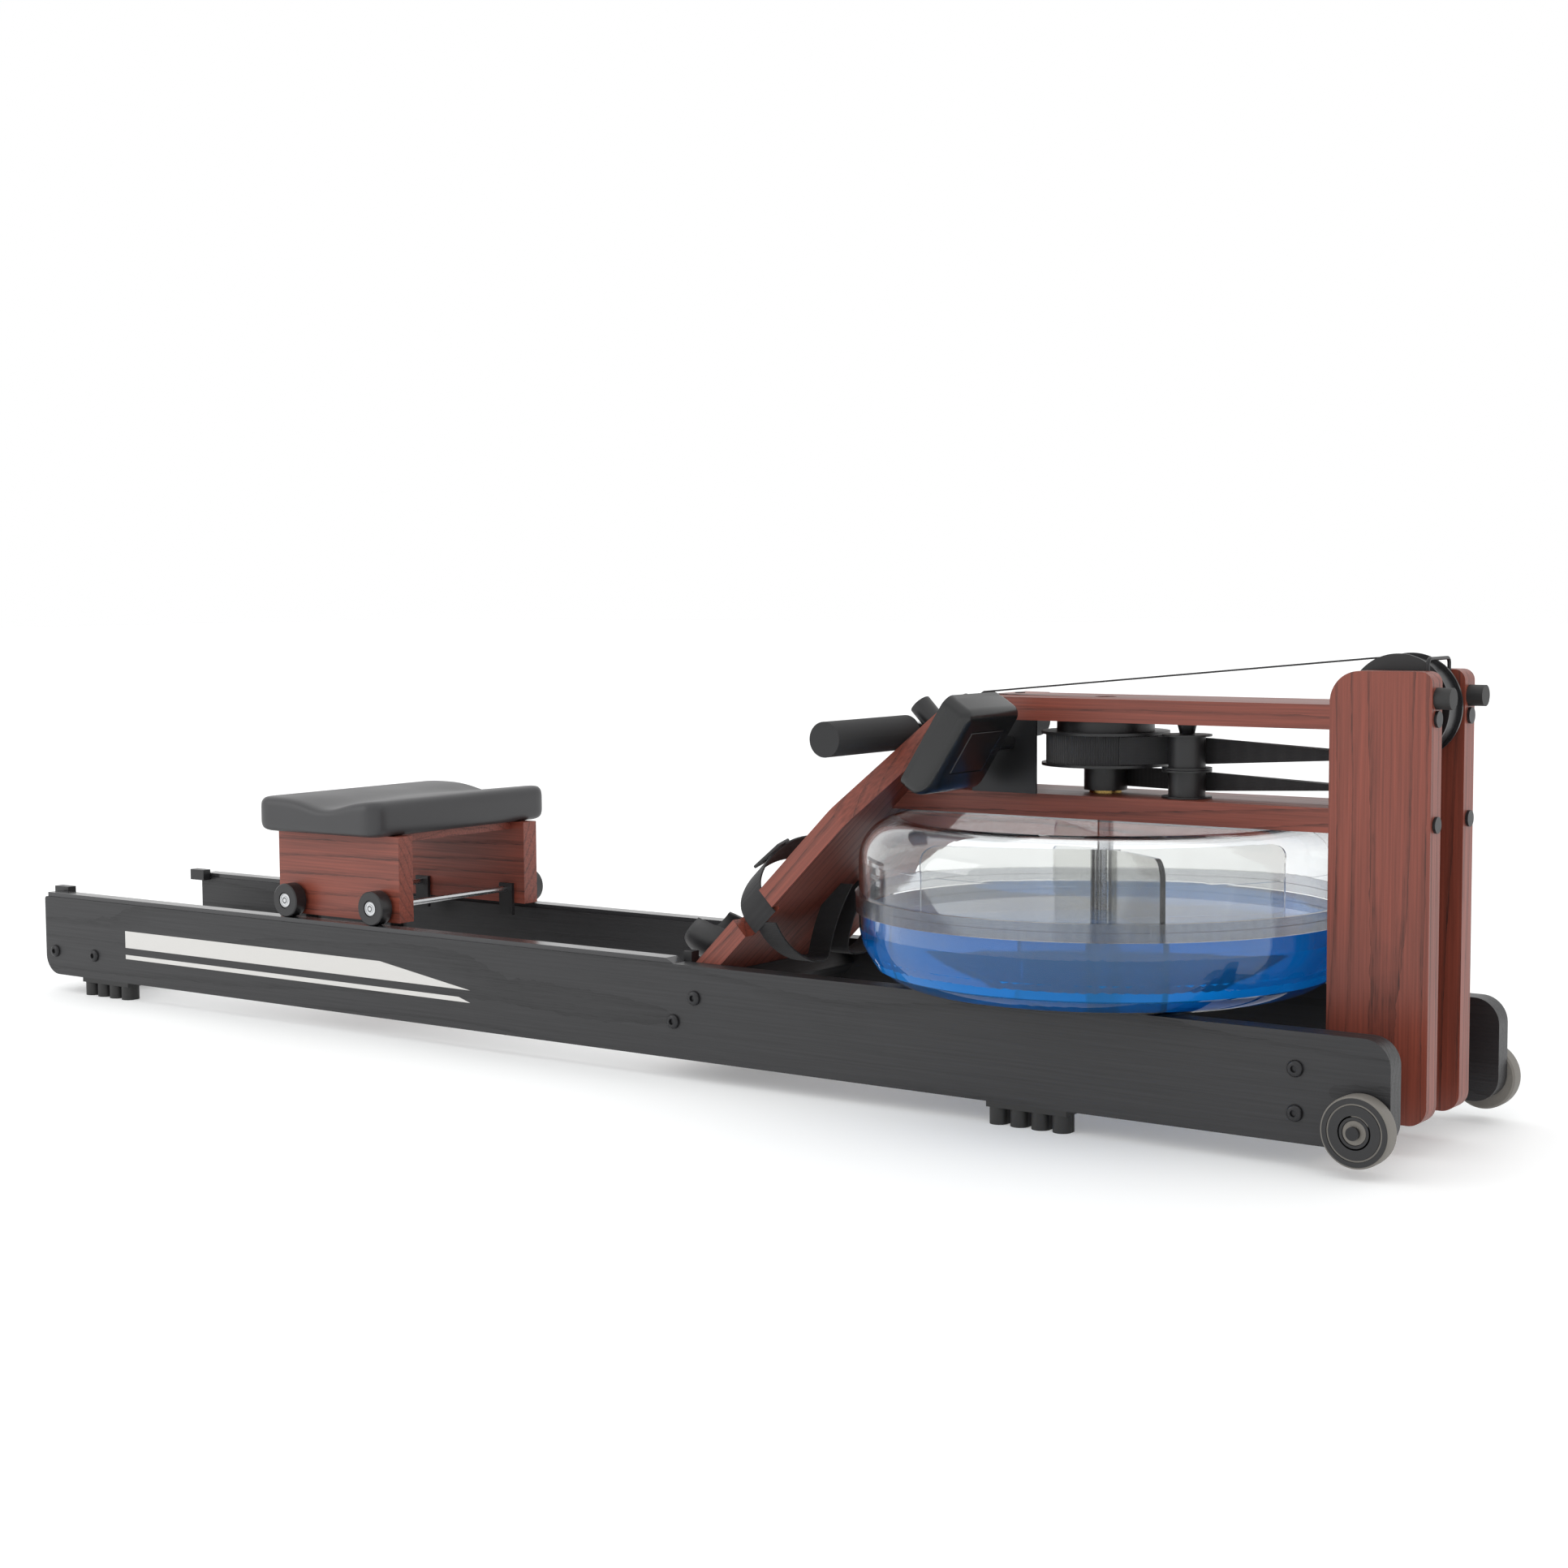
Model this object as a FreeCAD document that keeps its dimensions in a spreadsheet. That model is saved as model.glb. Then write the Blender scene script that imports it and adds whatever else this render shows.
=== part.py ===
import FreeCAD, Part
import math
import os
import re
import Sketcher

# A water rowing machine: two long rails carry a rolling seat, a sloped footboard and a round water
# tank with a paddle. The handle's strap runs over a pulley between two uprights to a drum on the
# paddle's shaft. X runs from the stern (seat end) to the bow (tank end), Y across and Z up. The origin
# is on the floor, half-way along and on the centre plane. Names ending in _x are measured from the
# rails' stern end.

Vector = FreeCAD.Vector
doc = FreeCAD.newDocument("rowing_machine")

SIZES = {
    # rails, feet and the boards that join the rails
    "rail_length": 2070, "rail_height": 113, "rail_thick": 26, "rail_spread": 321,
    "rail_corner": 28, "rail_sharp": 4, "floor_gap": 25, "board_thick": 26, "joint_gap": 0.5,
    "stern_board_x": 8, "stern_board_length": 115, "stern_board_level": 59, "bow_board_height": 84,
    "brace_bolt_pitch": 44, "bow_bolt_drop": 16.5, "bow_bolt_pitch": 45, "bolt_inset": 14,
    "bolt_pitch": 87.2, "bolt_head": 8.7, "bolt_rise": 4.5, "rib_count": 4, "rib_pitch": 26.15,
    "rib_width": 21, "foot_pad": 6, "stern_foot_x": 92, "bow_foot_x": 1619.7,
    # tracks and stops
    "track_start": 5, "track_length": 1170, "track_thick": 6, "track_width": 22,
    "stop_overhang": 10, "stop_length": 20, "stop_height": 12, "stop_width": 14, "stop_seat": 4,
    "bow_stop_room": 18, "bow_stop_length": 12,
    # tank
    "tank_radius": 279.5, "rim_step": 4.5, "tank_height": 188, "seam_height": 94.4,
    "rim_height": 19.4, "shell_wall": 4, "bottom_corner": 72, "top_corner": 47, "water_level": 84,
    "water_gap": 0.3, "water_room": 3, "tank_gap": 11, "plug_radius": 20, "plug_place": 150,
    "plug_height": 9,
    # uprights, decks and bumpers
    "upright_width": 109, "upright_thick": 27, "upright_gap": 62, "upright_setback": 4,
    "upright_drop": 8, "upright_rise": 35, "upright_round": 32, "upright_front_round": 12,
    "upright_foot_round": 20, "deck_thick": 25.5, "deck_width": 116, "tank_headroom": 1,
    "drive_space": 81, "bumper_radius": 11, "bumper_length": 17, "bumper_level": 27,
    "deck_bolt_head": 8.5, "deck_screw_head": 6, "deck_bolt_rise": 3, "deck_screw_rise": 1, "deck_screw_back": 20,
    "deck_screw_spread": 72, "shaft_room": 3,
    # footboard
    "board_slope": 44.4, "foot_clearance": 0.380, "foot_tail": 90, "taper_start": 275,
    "foot_neck": 140, "strap_slot_start": 78, "strap_slot_length": 54, "strap_slot_depth": 20,
    "slot_round": 8, "shoulder_round": 60, "brace_length": 92, "brace_tail": 82,
    # paddle, shaft and drums
    "shaft_radius": 9, "shaft_top_reach": 15, "blade_clearance": 61, "blade_gap": 5,
    "blade_height": 152, "blade_thick": 6, "blade_round": 22, "hub_radius": 17, "bush_radius": 18,
    "bush_height": 3, "drum_radius": 62, "wound_thick": 4, "drum_height": 32, "flange_radius": 71,
    "flange_thick": 3, "recoil_radius": 24, "recoil_height": 22, "clutch_radius": 54,
    "clutch_height": 12, "run_gap": 0.05,
    # guide rollers
    "roller_clearance": 12.5, "roller_offset": 20.5, "roller_radius": 20, "roller_flange": 27,
    "roller_flange_thick": 2, "roller_headroom": 12, "roller_rise": 0.3, "post_radius": 5,
    "post_boss": 11,
    # pulleys between the uprights
    "pulley_radius": 51, "pulley_width": 38, "pulley_flange": 55, "pulley_drop": 3,
    "deck_clearance": 2, "return_radius": 25, "return_setback": 30, "cord_level": 68,
    "cord_radius": 4, "keeper_wire": 2, "keeper_forward": 38, "keeper_drop": 30, "keeper_rise": 50,
    "axle_radius": 5, "strap_width": 30, "strap_thick": 2, "strap_gap": 0.4,
    # handle and pegs
    "handle_station": 376.5, "handle_half": 228, "grip_radius": 19.7, "grip_length": 162,
    "bar_radius": 11, "peg_radius": 13, "peg_length": 40, "peg_offset": 42, "grip_clearance": 0.8,
    "grip_wall": 4, "pull_strap_width": 25,
    # seat
    "seat_x": 586.5, "axle_pitch": 161, "seat_wheel_radius": 22.5, "seat_wheel_width": 20,
    "cheek_length": 226, "cheek_forward": -1.5, "cheek_spread": 268, "cheek_thick": 26,
    "cheek_height": 113, "cheek_lift": 3, "cushion_length": 228, "cushion_width": 342,
    "cushion_height": 46, "cushion_round": 16, "cushion_back": 9.5, "seat_board_thick": 10,
    "guard_width": 24, "guard_height": 44, "guard_thick": 5, "seat_axle_radius": 4,
    # transport wheels
    "wheel_radius": 36.5, "wheel_width": 22, "wheel_level": 48, "wheel_setback": 28,
    "wheel_axle": 4, "wheel_head": 4,
    # heel cups and foot straps
    "heel_station": -6, "heel_length": 70, "heel_width": 80, "heel_height": 46, "heel_offset": 72,
    "heel_plate": 5, "loop_station": 105, "loop_width": 48, "loop_height": 62, "loop_span": 104,
    "loop_shoulder": 34, "loop_crown": 52, "webbing_thick": 3,
    # console
    "console_width": 112, "console_length": 116, "console_depth": 30, "console_wall": 2.5,
    "console_near": 33, "console_tilt": 57.4, "console_gap": 13.57, "console_drop": 67,
    "console_round": 13, "bezel_drop": 27, "key_gap": 0.3, "bezel_thick": 7, "lens_length": 62,
    "lens_width": 92, "lens_thick": 2, "lens_station": 46, "key_radius": 9, "key_travel": 1.2,
    "key_station": 24, "plate_gap": 12.57, "plate_length": 82.5, "plate_thick": 3,
    "pivot_radius": 8, "pivot_station": 62, "pivot_depth": 16,
}

DERIVED = {
    "rail_top": "(floor_gap + rail_height)",
    "rail_inner": "(rail_spread / 2 - rail_thick)",
    "rail_middle": "(rail_spread / 2 - rail_thick / 2)",
    "track_top": "(rail_top + track_thick)",
    "bow_face": "(rail_length - upright_setback)",
    "bow_end": "(bow_face + bumper_length)",
    "mid_length": "((bow_end - stop_overhang) / 2)",
    "upright_back": "(bow_face - upright_width)",
    "upright_mid": "(bow_face - upright_width / 2)",
    "tank_x": "(upright_back - tank_gap - tank_radius)",
    "tank_top": "(rail_top + tank_height)",
    "low_deck": "(tank_top + tank_headroom)",
    "low_deck_top": "(low_deck + deck_thick)",
    "top_deck": "(low_deck_top + drive_space)",
    "deck_top": "(top_deck + deck_thick)",
    "upright_top": "(deck_top + upright_rise)",
    "slope_tan": "tan(board_slope * 1 deg)",
    "slope_sin": "sin(board_slope * 1 deg)",
    "slope_cos": "cos(board_slope * 1 deg)",
    "corner_x": "(tank_x - tank_radius + rim_step + top_corner)",
    "under_gap": "(board_thick + top_corner + foot_clearance)",
    "foot_width": "(rail_inner * 2 - joint_gap * 2)",
    "foot_x": "(corner_x - (under_gap + (tank_height - top_corner) * slope_cos) / slope_sin)",
    "under_x": "(foot_x + board_thick / slope_sin)",
    "foot_run": "((deck_top - rail_top) / slope_sin)",
    "foot_end": "(foot_run + board_thick / slope_tan)",
    "foot_tip": "(foot_x + foot_run * slope_cos)",
    "handle_height": "(grip_radius + grip_clearance)",
    "drum_level": "(top_deck - clutch_height - flange_thick * 2 - drum_height)",
    "recoil_level": "(low_deck_top + bush_height)",
    "roller_x": "(tank_x + flange_radius + roller_flange + roller_clearance)",
    "pulley_x": "(upright_back + pulley_flange + deck_clearance)",
    "pulley_z": "(deck_top - pulley_drop)",
    "return_x": "(upright_back + return_setback)",
    "return_z": "((recoil_level + drum_level) / 2 - return_radius - strap_gap - strap_thick / 2)",
    "blade_span": "(tank_radius - rim_step - shell_wall - blade_clearance)",
    "bow_stop_x": "(foot_x - bow_stop_room)",
    "brace_under_x": "(foot_x + (board_thick * 2 + joint_gap) / slope_sin)",
    "cord_end_x": "(brace_under_x - (rail_top - cord_level) / slope_tan + cord_radius * 2)",
    "seat_axle_level": "(track_top + seat_wheel_radius)",
    "cheek_base": "(rail_top + cheek_lift + track_thick)",
    "cheek_top": "(cheek_base + cheek_height)",
}

ORIGIN_X = "mid_length"
HALF_ROOT = "0.7071"
UPRIGHT_Y = "(upright_gap / 2 + upright_thick / 2)"
BOW_BOLT = "(floor_gap + upright_drop + bow_board_height - bow_bolt_drop)"


def formula(text):
    """Replaces each derived name by its formula, and each size's name by its cell."""
    pattern = re.compile(r"[a-z]+(?:_[a-z]+)+|\b(?:sizes\.)\w+")
    while any(name in DERIVED for name in pattern.findall(text)):
        text = pattern.sub(lambda found: DERIVED.get(found.group(0), found.group(0)), text)
    return pattern.sub(lambda found: "sizes." + found.group(0), text)


def fill_sheet():
    sheet = doc.addObject("Spreadsheet::Sheet", "sizes")
    for row, (name, size) in enumerate(SIZES.items(), start=1):
        sheet.set(f"A{row}", str(size))
        sheet.setAlias(f"A{row}", name)
    doc.recompute()
    return sheet


sheet = fill_sheet()


def size(text):
    """The number that a formula of named sizes gives, in mm or degrees."""
    return float(sheet.evalExpression(formula(text)))


def bind(item, prop, text):
    item.setExpression(prop, formula(str(text)))


def place(item, x, y, z, axis=None, angle=None):
    """Puts an object at x from the stern end, y and z, turned about an axis."""
    if axis:
        item.Placement = FreeCAD.Placement(Vector(0, 0, 0), FreeCAD.Rotation(Vector(*axis), 10))
        bind(item, "Placement.Rotation.Angle", angle)
    bind(item, "Placement.Base.x", f"{x} - {ORIGIN_X}")
    bind(item, "Placement.Base.y", y)
    bind(item, "Placement.Base.z", z)
    return item


ALONG = {"z": None, "x": (0, 1, 0), "y": (1, 0, 0)}


def box(label, length, width, height, x, y, z):
    """A block whose low corner is at x, y, z."""
    item = doc.addObject("Part::Box", label)
    bind(item, "Length", length)
    bind(item, "Width", width)
    bind(item, "Height", height)
    return place(item, x, y, z)


def centred_box(label, length, width, height, x, y, z):
    """A block that is centred on x and y and stands on z."""
    return box(label, length, width, height, f"{x} - ({length}) / 2", f"{y} - ({width}) / 2", z)


def rod(label, radius, length, x, y, z, along="z"):
    """A round bar that starts at x, y, z and runs towards +X, +Z or, for y, towards -Y."""
    item = doc.addObject("Part::Cylinder", label)
    bind(item, "Radius", radius)
    bind(item, "Height", length)
    return place(item, x, y, z, ALONG[along], "90")


def cone(label, radius, tip_radius, length, x, y, z, along="z"):
    item = doc.addObject("Part::Cone", label)
    bind(item, "Radius1", radius)
    bind(item, "Radius2", tip_radius)
    bind(item, "Height", length)
    return place(item, x, y, z, ALONG[along], "90")


def fuse(label, parts):
    item = doc.addObject("Part::MultiFuse", label)
    item.Shapes = parts
    item.Refine = True
    return item


def cut(label, base, tools):
    item = doc.addObject("Part::Cut", label)
    item.Base = base
    item.Tool = tools[0] if len(tools) == 1 else fuse(label + "_cutter", tools)
    return item


def group(label, parts):
    """Separate like solids that are kept as one sub-part."""
    item = doc.addObject("Part::Compound", label)
    item.Links = parts
    return item


def outline(body, role, corners):
    """A closed outline on one of the body's own planes, each corner held by two sizes."""
    sketch = body.newObject("Sketcher::SketchObject", body.Name + "_outline")
    plane = [item for item in body.Origin.OriginFeatures if item.Role == role][0]
    sketch.AttachmentSupport = [(plane, "")]
    sketch.MapMode = "FlatFace"
    spots = [Vector(size(across), size(up), 0) for across, up in corners]
    for start, end in zip(spots, spots[1:] + spots[:1]):
        sketch.addGeometry(Part.LineSegment(start, end), False)
    for edge in range(len(spots)):
        sketch.addConstraint(Sketcher.Constraint("Coincident", edge, 2, (edge + 1) % len(spots), 1))
    for edge, (spot, corner) in enumerate(zip(spots, corners)):
        for kind, value, text in (("DistanceX", spot.x, corner[0]), ("DistanceY", spot.y, corner[1])):
            index = sketch.addConstraint(Sketcher.Constraint(kind, -1, 1, edge, 1, value))
            bind(sketch, f"Constraints[{index}]", text)
    return sketch


def new_body(label):
    return doc.addObject("PartDesign::Body", label)


def straight_edges_at(shape, role, spot):
    """Names of the edges that run straight out of the outline's plane at one of its corners."""
    names = []
    for index, edge in enumerate(shape.Edges, start=1):
        ends = [vertex.Point for vertex in edge.Vertexes]
        flat = [(end.x, end.y) if role == "XY_Plane" else (end.x, end.z) for end in ends]
        if len(ends) == 2 and all(math.dist(point, spot) < 1e-4 for point in flat):
            names.append(f"Edge{index}")
    return names


def circles_at(shape, radius, level):
    names = []
    for index, edge in enumerate(shape.Edges, start=1):
        curve = edge.Curve
        if isinstance(curve, Part.Circle) and abs(curve.Radius - radius) < 1e-4:
            if abs(curve.Center.z - level) < 1e-4:
                names.append(f"Edge{index}")
    return names


def round_off(body, base, edges, radius):
    item = body.newObject("PartDesign::Fillet", body.Name + "_round")
    item.Base = (base, edges)
    bind(item, "Radius", radius)
    body.Tip = item
    doc.recompute()
    return item


def plate(label, role, corners, depth, rounds=()):
    """A flat piece cut to an outline, half its depth each side of the plane; rounds lists
    (corner number, radius)."""
    body = new_body(label)
    pad = body.newObject("PartDesign::Pad", label + "_pad")
    pad.Profile = outline(body, role, corners)
    pad.Midplane = True
    bind(pad, "Length", depth)
    doc.recompute()
    tip = pad
    for corner, radius in rounds:
        across, up = corners[corner]
        names = straight_edges_at(tip.Shape, role, (size(across), size(up)))
        tip = round_off(body, tip, names, radius)
    return body


def turned(label, corners, rounds=()):
    """A round piece turned about its own Z axis from (radius, level) corners."""
    body = new_body(label)
    sketch = outline(body, "XZ_Plane", corners)
    ring = body.newObject("PartDesign::Revolution", label + "_turn")
    ring.Profile = sketch
    ring.ReferenceAxis = (sketch, ["V_Axis"])
    ring.Angle = 360
    doc.recompute()
    tip = ring
    for corner, radius in rounds:
        across, up = corners[corner]
        tip = round_off(body, tip, circles_at(tip.Shape, size(across), size(up)), radius)
    return body


def cut_through(body, role, corners):
    """Cuts an outline right through the body, and checks that it took wood away."""
    before = body.Shape.Volume
    pocket = body.newObject("PartDesign::Pocket", body.Name + "_cut")
    pocket.Profile = outline(body, role, corners)
    pocket.Type = "ThroughAll"
    pocket.Midplane = True
    body.Tip = pocket
    doc.recompute()
    if body.Shape.Volume > before - 1:
        raise RuntimeError(body.Label + ": the cut took nothing away")
    return pocket


SIDES = (("right", -1), ("left", 1))
parts = {}


def keep(label, item):
    item.Label = label
    parts[label] = item
    return item


# ---- rails and the boards between them ----
def make_rails():
    corners = [("0", "0"), ("rail_length", "0"), ("rail_length", "rail_height"), ("0", "rail_height")]
    rounds = [(0, "rail_corner"), (1, "rail_corner"), (2, "rail_corner"), (3, "rail_sharp")]
    for side, sign in SIDES:
        rail = plate("rail_" + side, "XZ_Plane", corners, "rail_thick", rounds)
        keep("rail_" + side, place(rail, "0", f"{sign} * rail_middle", "floor_gap"))


def make_tracks():
    corners = [("0", "0"), ("track_length", "0"), ("track_length - track_thick * 2", "track_thick"),
               ("0", "track_thick")]
    tracks = []
    for side, sign in SIDES:
        track = plate("track_" + side, "XZ_Plane", corners, "track_width")
        tracks.append(place(track, "track_start", f"{sign} * rail_middle", "rail_top"))
    keep("tracks", group("tracks", tracks))


def make_seat_stops():
    """Blocks on the rails' inner top edges that the seat's sides meet at each end of its travel."""
    stops = []
    for side, sign in SIDES:
        inside = f"{sign} * (rail_inner - stop_width / 2)"
        for name, length, middle in (("stern", "stop_length + stop_overhang",
                                      "(stop_length - stop_overhang) / 2"),
                                     ("bow", "bow_stop_length", "bow_stop_x + bow_stop_length / 2")):
            stops.append(centred_box(f"{name}_stop_{side}", length, "stop_width",
                                     "stop_height + stop_seat", middle, inside, "rail_top - stop_seat"))
    keep("seat_stops", group("seat_stops", stops))


def make_spreaders():
    across = "rail_inner * 2"
    keep("stern_spreader", centred_box("stern_spreader", "stern_board_length", across, "board_thick",
                                       "stern_board_x + stern_board_length / 2", "0",
                                       "stern_board_level - board_thick / 2"))
    board = centred_box("bow_board", "board_thick", across, "bow_board_height",
                        "upright_back + board_thick / 2", "0", "floor_gap + upright_drop")
    hole = rod("cord_hole", "cord_radius * 2", "board_thick + 2", "upright_back - 1", "0",
               "cord_level", "x")
    keep("bow_spreader", cut("bow_spreader", board, [hole]))
    brace = plate("foot_spreader", "XZ_Plane",
                  [("-brace_tail", "-board_thick - joint_gap"),
                   ("brace_length - brace_tail", "-board_thick - joint_gap"),
                   ("brace_length - brace_tail", "-board_thick * 2 - joint_gap"),
                   ("-brace_tail", "-board_thick * 2 - joint_gap")], across)
    keep("foot_spreader", place(brace, "foot_x", "0", "rail_top", (0, 1, 0), "-board_slope"))


def rib_foot(label, x, y):
    """A rubber block under a rail: a pad with four round-nosed ribs across it."""
    half = "(rib_width / 2)"
    pieces = [centred_box(label + "_pad", "rib_pitch * (rib_count - 1) + rib_width", "rail_thick",
                          "foot_pad", f"{x} + rib_pitch * (rib_count - 1) / 2", y,
                          "floor_gap - foot_pad")]
    for rib in range(int(size("rib_count"))):
        pieces.append(rod(f"{label}_rib{rib}", half, "floor_gap - foot_pad / 2",
                          f"{x} + rib_pitch * {rib}", f"{y} - {half} + rail_thick / 2", "0"))
        pieces.append(rod(f"{label}_nose{rib}", half, "floor_gap - foot_pad / 2",
                          f"{x} + rib_pitch * {rib}", f"{y} + {half} - rail_thick / 2", "0"))
    return fuse(label, pieces)


def make_feet():
    feet = []
    for side, sign in SIDES:
        feet.append(rib_foot("stern_foot_" + side, "stern_foot_x", f"{sign} * rail_middle"))
        feet.append(rib_foot("bow_foot_" + side, "bow_foot_x", f"{sign} * rail_middle"))
    keep("feet", group("feet", feet))


def side_bolt(label, x, level, sign):
    """The button head of a bolt through a rail, standing proud of the rail's outer face."""
    start = "-rail_spread / 2" if sign < 0 else "rail_spread / 2 + bolt_rise"
    return rod(label, "bolt_head", "bolt_rise", x, start, level, "y")


def make_rail_bolts():
    places = [("stern_board_x + bolt_inset", "stern_board_level"),
              ("stern_board_x + bolt_inset + bolt_pitch", "stern_board_level"),
              (f"upright_back + board_thick / 2", f"{BOW_BOLT}"),
              (f"upright_back + board_thick / 2", f"{BOW_BOLT} - bow_bolt_pitch")]
    depth = "(board_thick * 1.5 + joint_gap)"
    for half in ("brace_bolt_pitch / 2", "-brace_bolt_pitch / 2"):
        reach = f"(brace_length / 2 - brace_tail + {half})"
        places.append((f"foot_x + {reach} * slope_cos + {depth} * slope_sin",
                       f"rail_top + {reach} * slope_sin - {depth} * slope_cos"))
    bolts = []
    for side, sign in SIDES:
        for number, (x, level) in enumerate(places):
            bolts.append(side_bolt(f"rail_bolt_{side}{number}", x, level, sign))
    keep("rail_bolts", group("rail_bolts", bolts))


# ---- uprights and decks ----
def make_uprights():
    notch = "board_thick + joint_gap"
    top = "upright_top - floor_gap - upright_drop"
    corners = [(notch, "0"), ("upright_width", "0"), ("upright_width", top), ("0", top),
               ("0", "bow_board_height + joint_gap"), (notch, "bow_board_height + joint_gap")]
    rounds = [(1, "upright_foot_round"), (2, "upright_front_round"), (3, "upright_round")]
    for side, sign in SIDES:
        upright = plate("upright_" + side, "XZ_Plane", corners, "upright_thick", rounds)
        keep("upright_" + side, place(upright, "upright_back", f"{sign} * {UPRIGHT_Y}",
                                      "floor_gap + upright_drop"))


def deck(label, level, hole):
    """A flat board from the footboard's underside to the uprights, bored for the paddle's shaft."""
    low = f"under_x + ({level} - rail_top) / slope_tan"
    high = f"under_x + ({level} + deck_thick - rail_top) / slope_tan"
    body = plate(label, "XZ_Plane", [(low, "0"), ("upright_back", "0"),
                                     ("upright_back", "deck_thick"), (high, "deck_thick")], "deck_width")
    bore(body, "tank_x", hole)
    return keep(label, place(body, "0", "0", level))


def bore(body, x, radius):
    """A round hole straight down through a body at x on its centre line."""
    sketch = body.newObject("Sketcher::SketchObject", body.Name + "_bore")
    plane = [item for item in body.Origin.OriginFeatures if item.Role == "XY_Plane"][0]
    sketch.AttachmentSupport = [(plane, "")]
    sketch.MapMode = "FlatFace"
    sketch.addGeometry(Part.Circle(Vector(size(x), 0, 0), Vector(0, 0, 1), size(radius)), False)
    sketch.addConstraint(Sketcher.Constraint("Radius", 0, size(radius)))
    bind(sketch, "Constraints[0]", radius)
    sketch.addConstraint(Sketcher.Constraint("DistanceX", -1, 1, 0, 3, size(x)))
    bind(sketch, "Constraints[1]", x)
    sketch.addConstraint(Sketcher.Constraint("PointOnObject", 0, 3, -1))
    before = body.Shape.Volume
    pocket = body.newObject("PartDesign::Pocket", body.Name + "_hole")
    pocket.Profile = sketch
    pocket.Type = "ThroughAll"
    pocket.Midplane = True
    body.Tip = pocket
    doc.recompute()
    if body.Shape.Volume > before - 1:
        raise RuntimeError(body.Label + ": the bore took nothing away")


def make_decks():
    deck("lower_deck", "low_deck", "shaft_radius + shaft_room")
    deck("top_deck", "top_deck", "shaft_radius + shaft_room")


def make_deck_bolts():
    bolts = []
    for side, sign in SIDES:
        across = f"{sign} * {UPRIGHT_Y}"
        for name, level in (("low", "low_deck + deck_thick / 2"), ("top", "top_deck + deck_thick / 2")):
            bolts.append(rod(f"deck_bolt_{name}_{side}", "deck_bolt_head", "deck_bolt_rise", "bow_face",
                             across, level, "x"))
        bolts.append(rod(f"deck_screw_{side}", "deck_screw_head", "deck_screw_rise",
                         "under_x + (deck_top - rail_top) / slope_tan - deck_screw_back",
                         f"{sign} * deck_screw_spread / 2", "deck_top"))
    keep("deck_bolts", group("deck_bolts", bolts))


def make_bumpers():
    bumpers = [rod("bumper_" + side, "bumper_radius", "bumper_length", "bow_face",
                   f"{sign} * {UPRIGHT_Y}", "upright_top - bumper_level", "x") for side, sign in SIDES]
    keep("bumpers", group("bumpers", bumpers))


# ---- footboard ----
def make_footboard():
    """A sloped plank, notched for the foot straps, that narrows to the decks' width at its top."""
    half = "foot_width / 2"
    slot_end = "strap_slot_start + strap_slot_length"
    slot_floor = "(foot_width / 2 - strap_slot_depth)"
    near = [("-foot_tail", f"-{half}"), ("strap_slot_start", f"-{half}"),
            ("strap_slot_start", f"-{slot_floor}"), (slot_end, f"-{slot_floor}"),
            (slot_end, f"-{half}"), ("taper_start", f"-{half}"), ("foot_end", "-foot_neck / 2")]
    far = [("foot_end", "foot_neck / 2"), ("taper_start", half), (slot_end, half),
           (slot_end, slot_floor), ("strap_slot_start", slot_floor), ("strap_slot_start", half),
           ("-foot_tail", half)]
    rounds = [(2, "slot_round"), (3, "slot_round"), (10, "slot_round"), (11, "slot_round"),
              (5, "shoulder_round"), (8, "shoulder_round")]
    board = plate("footboard", "XY_Plane", near + far, "board_thick", rounds)
    face = "board_thick / 2"
    cut_through(board, "XZ_Plane", [("foot_run", face), ("foot_end", f"-{face}"),
                                    ("foot_end + board_thick", f"-{face}"),
                                    ("foot_end + board_thick", f"{face} + 1"),
                                    ("foot_run", f"{face} + 1")])
    return keep("footboard", on_board(board, "0", "0", "-board_thick / 2"))


def on_board(item, station, across, rise):
    """Lays an object on the footboard: station up the slope from the rails' top, rise off its face."""
    return place(item, f"foot_x + ({station}) * slope_cos - ({rise}) * slope_sin", across,
                 f"rail_top + ({station}) * slope_sin + ({rise}) * slope_cos", (0, 1, 0), "-board_slope")


def make_pegs():
    pegs = []
    station = "handle_station + bar_radius + peg_radius + grip_clearance"
    for side, sign in SIDES:
        peg = doc.addObject("Part::Cylinder", "peg_" + side)
        bind(peg, "Radius", "peg_radius")
        bind(peg, "Height", "peg_length")
        pegs.append(on_board(peg, station, f"{sign} * peg_offset", "0"))
    keep("handle_pegs", group("handle_pegs", pegs))


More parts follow.
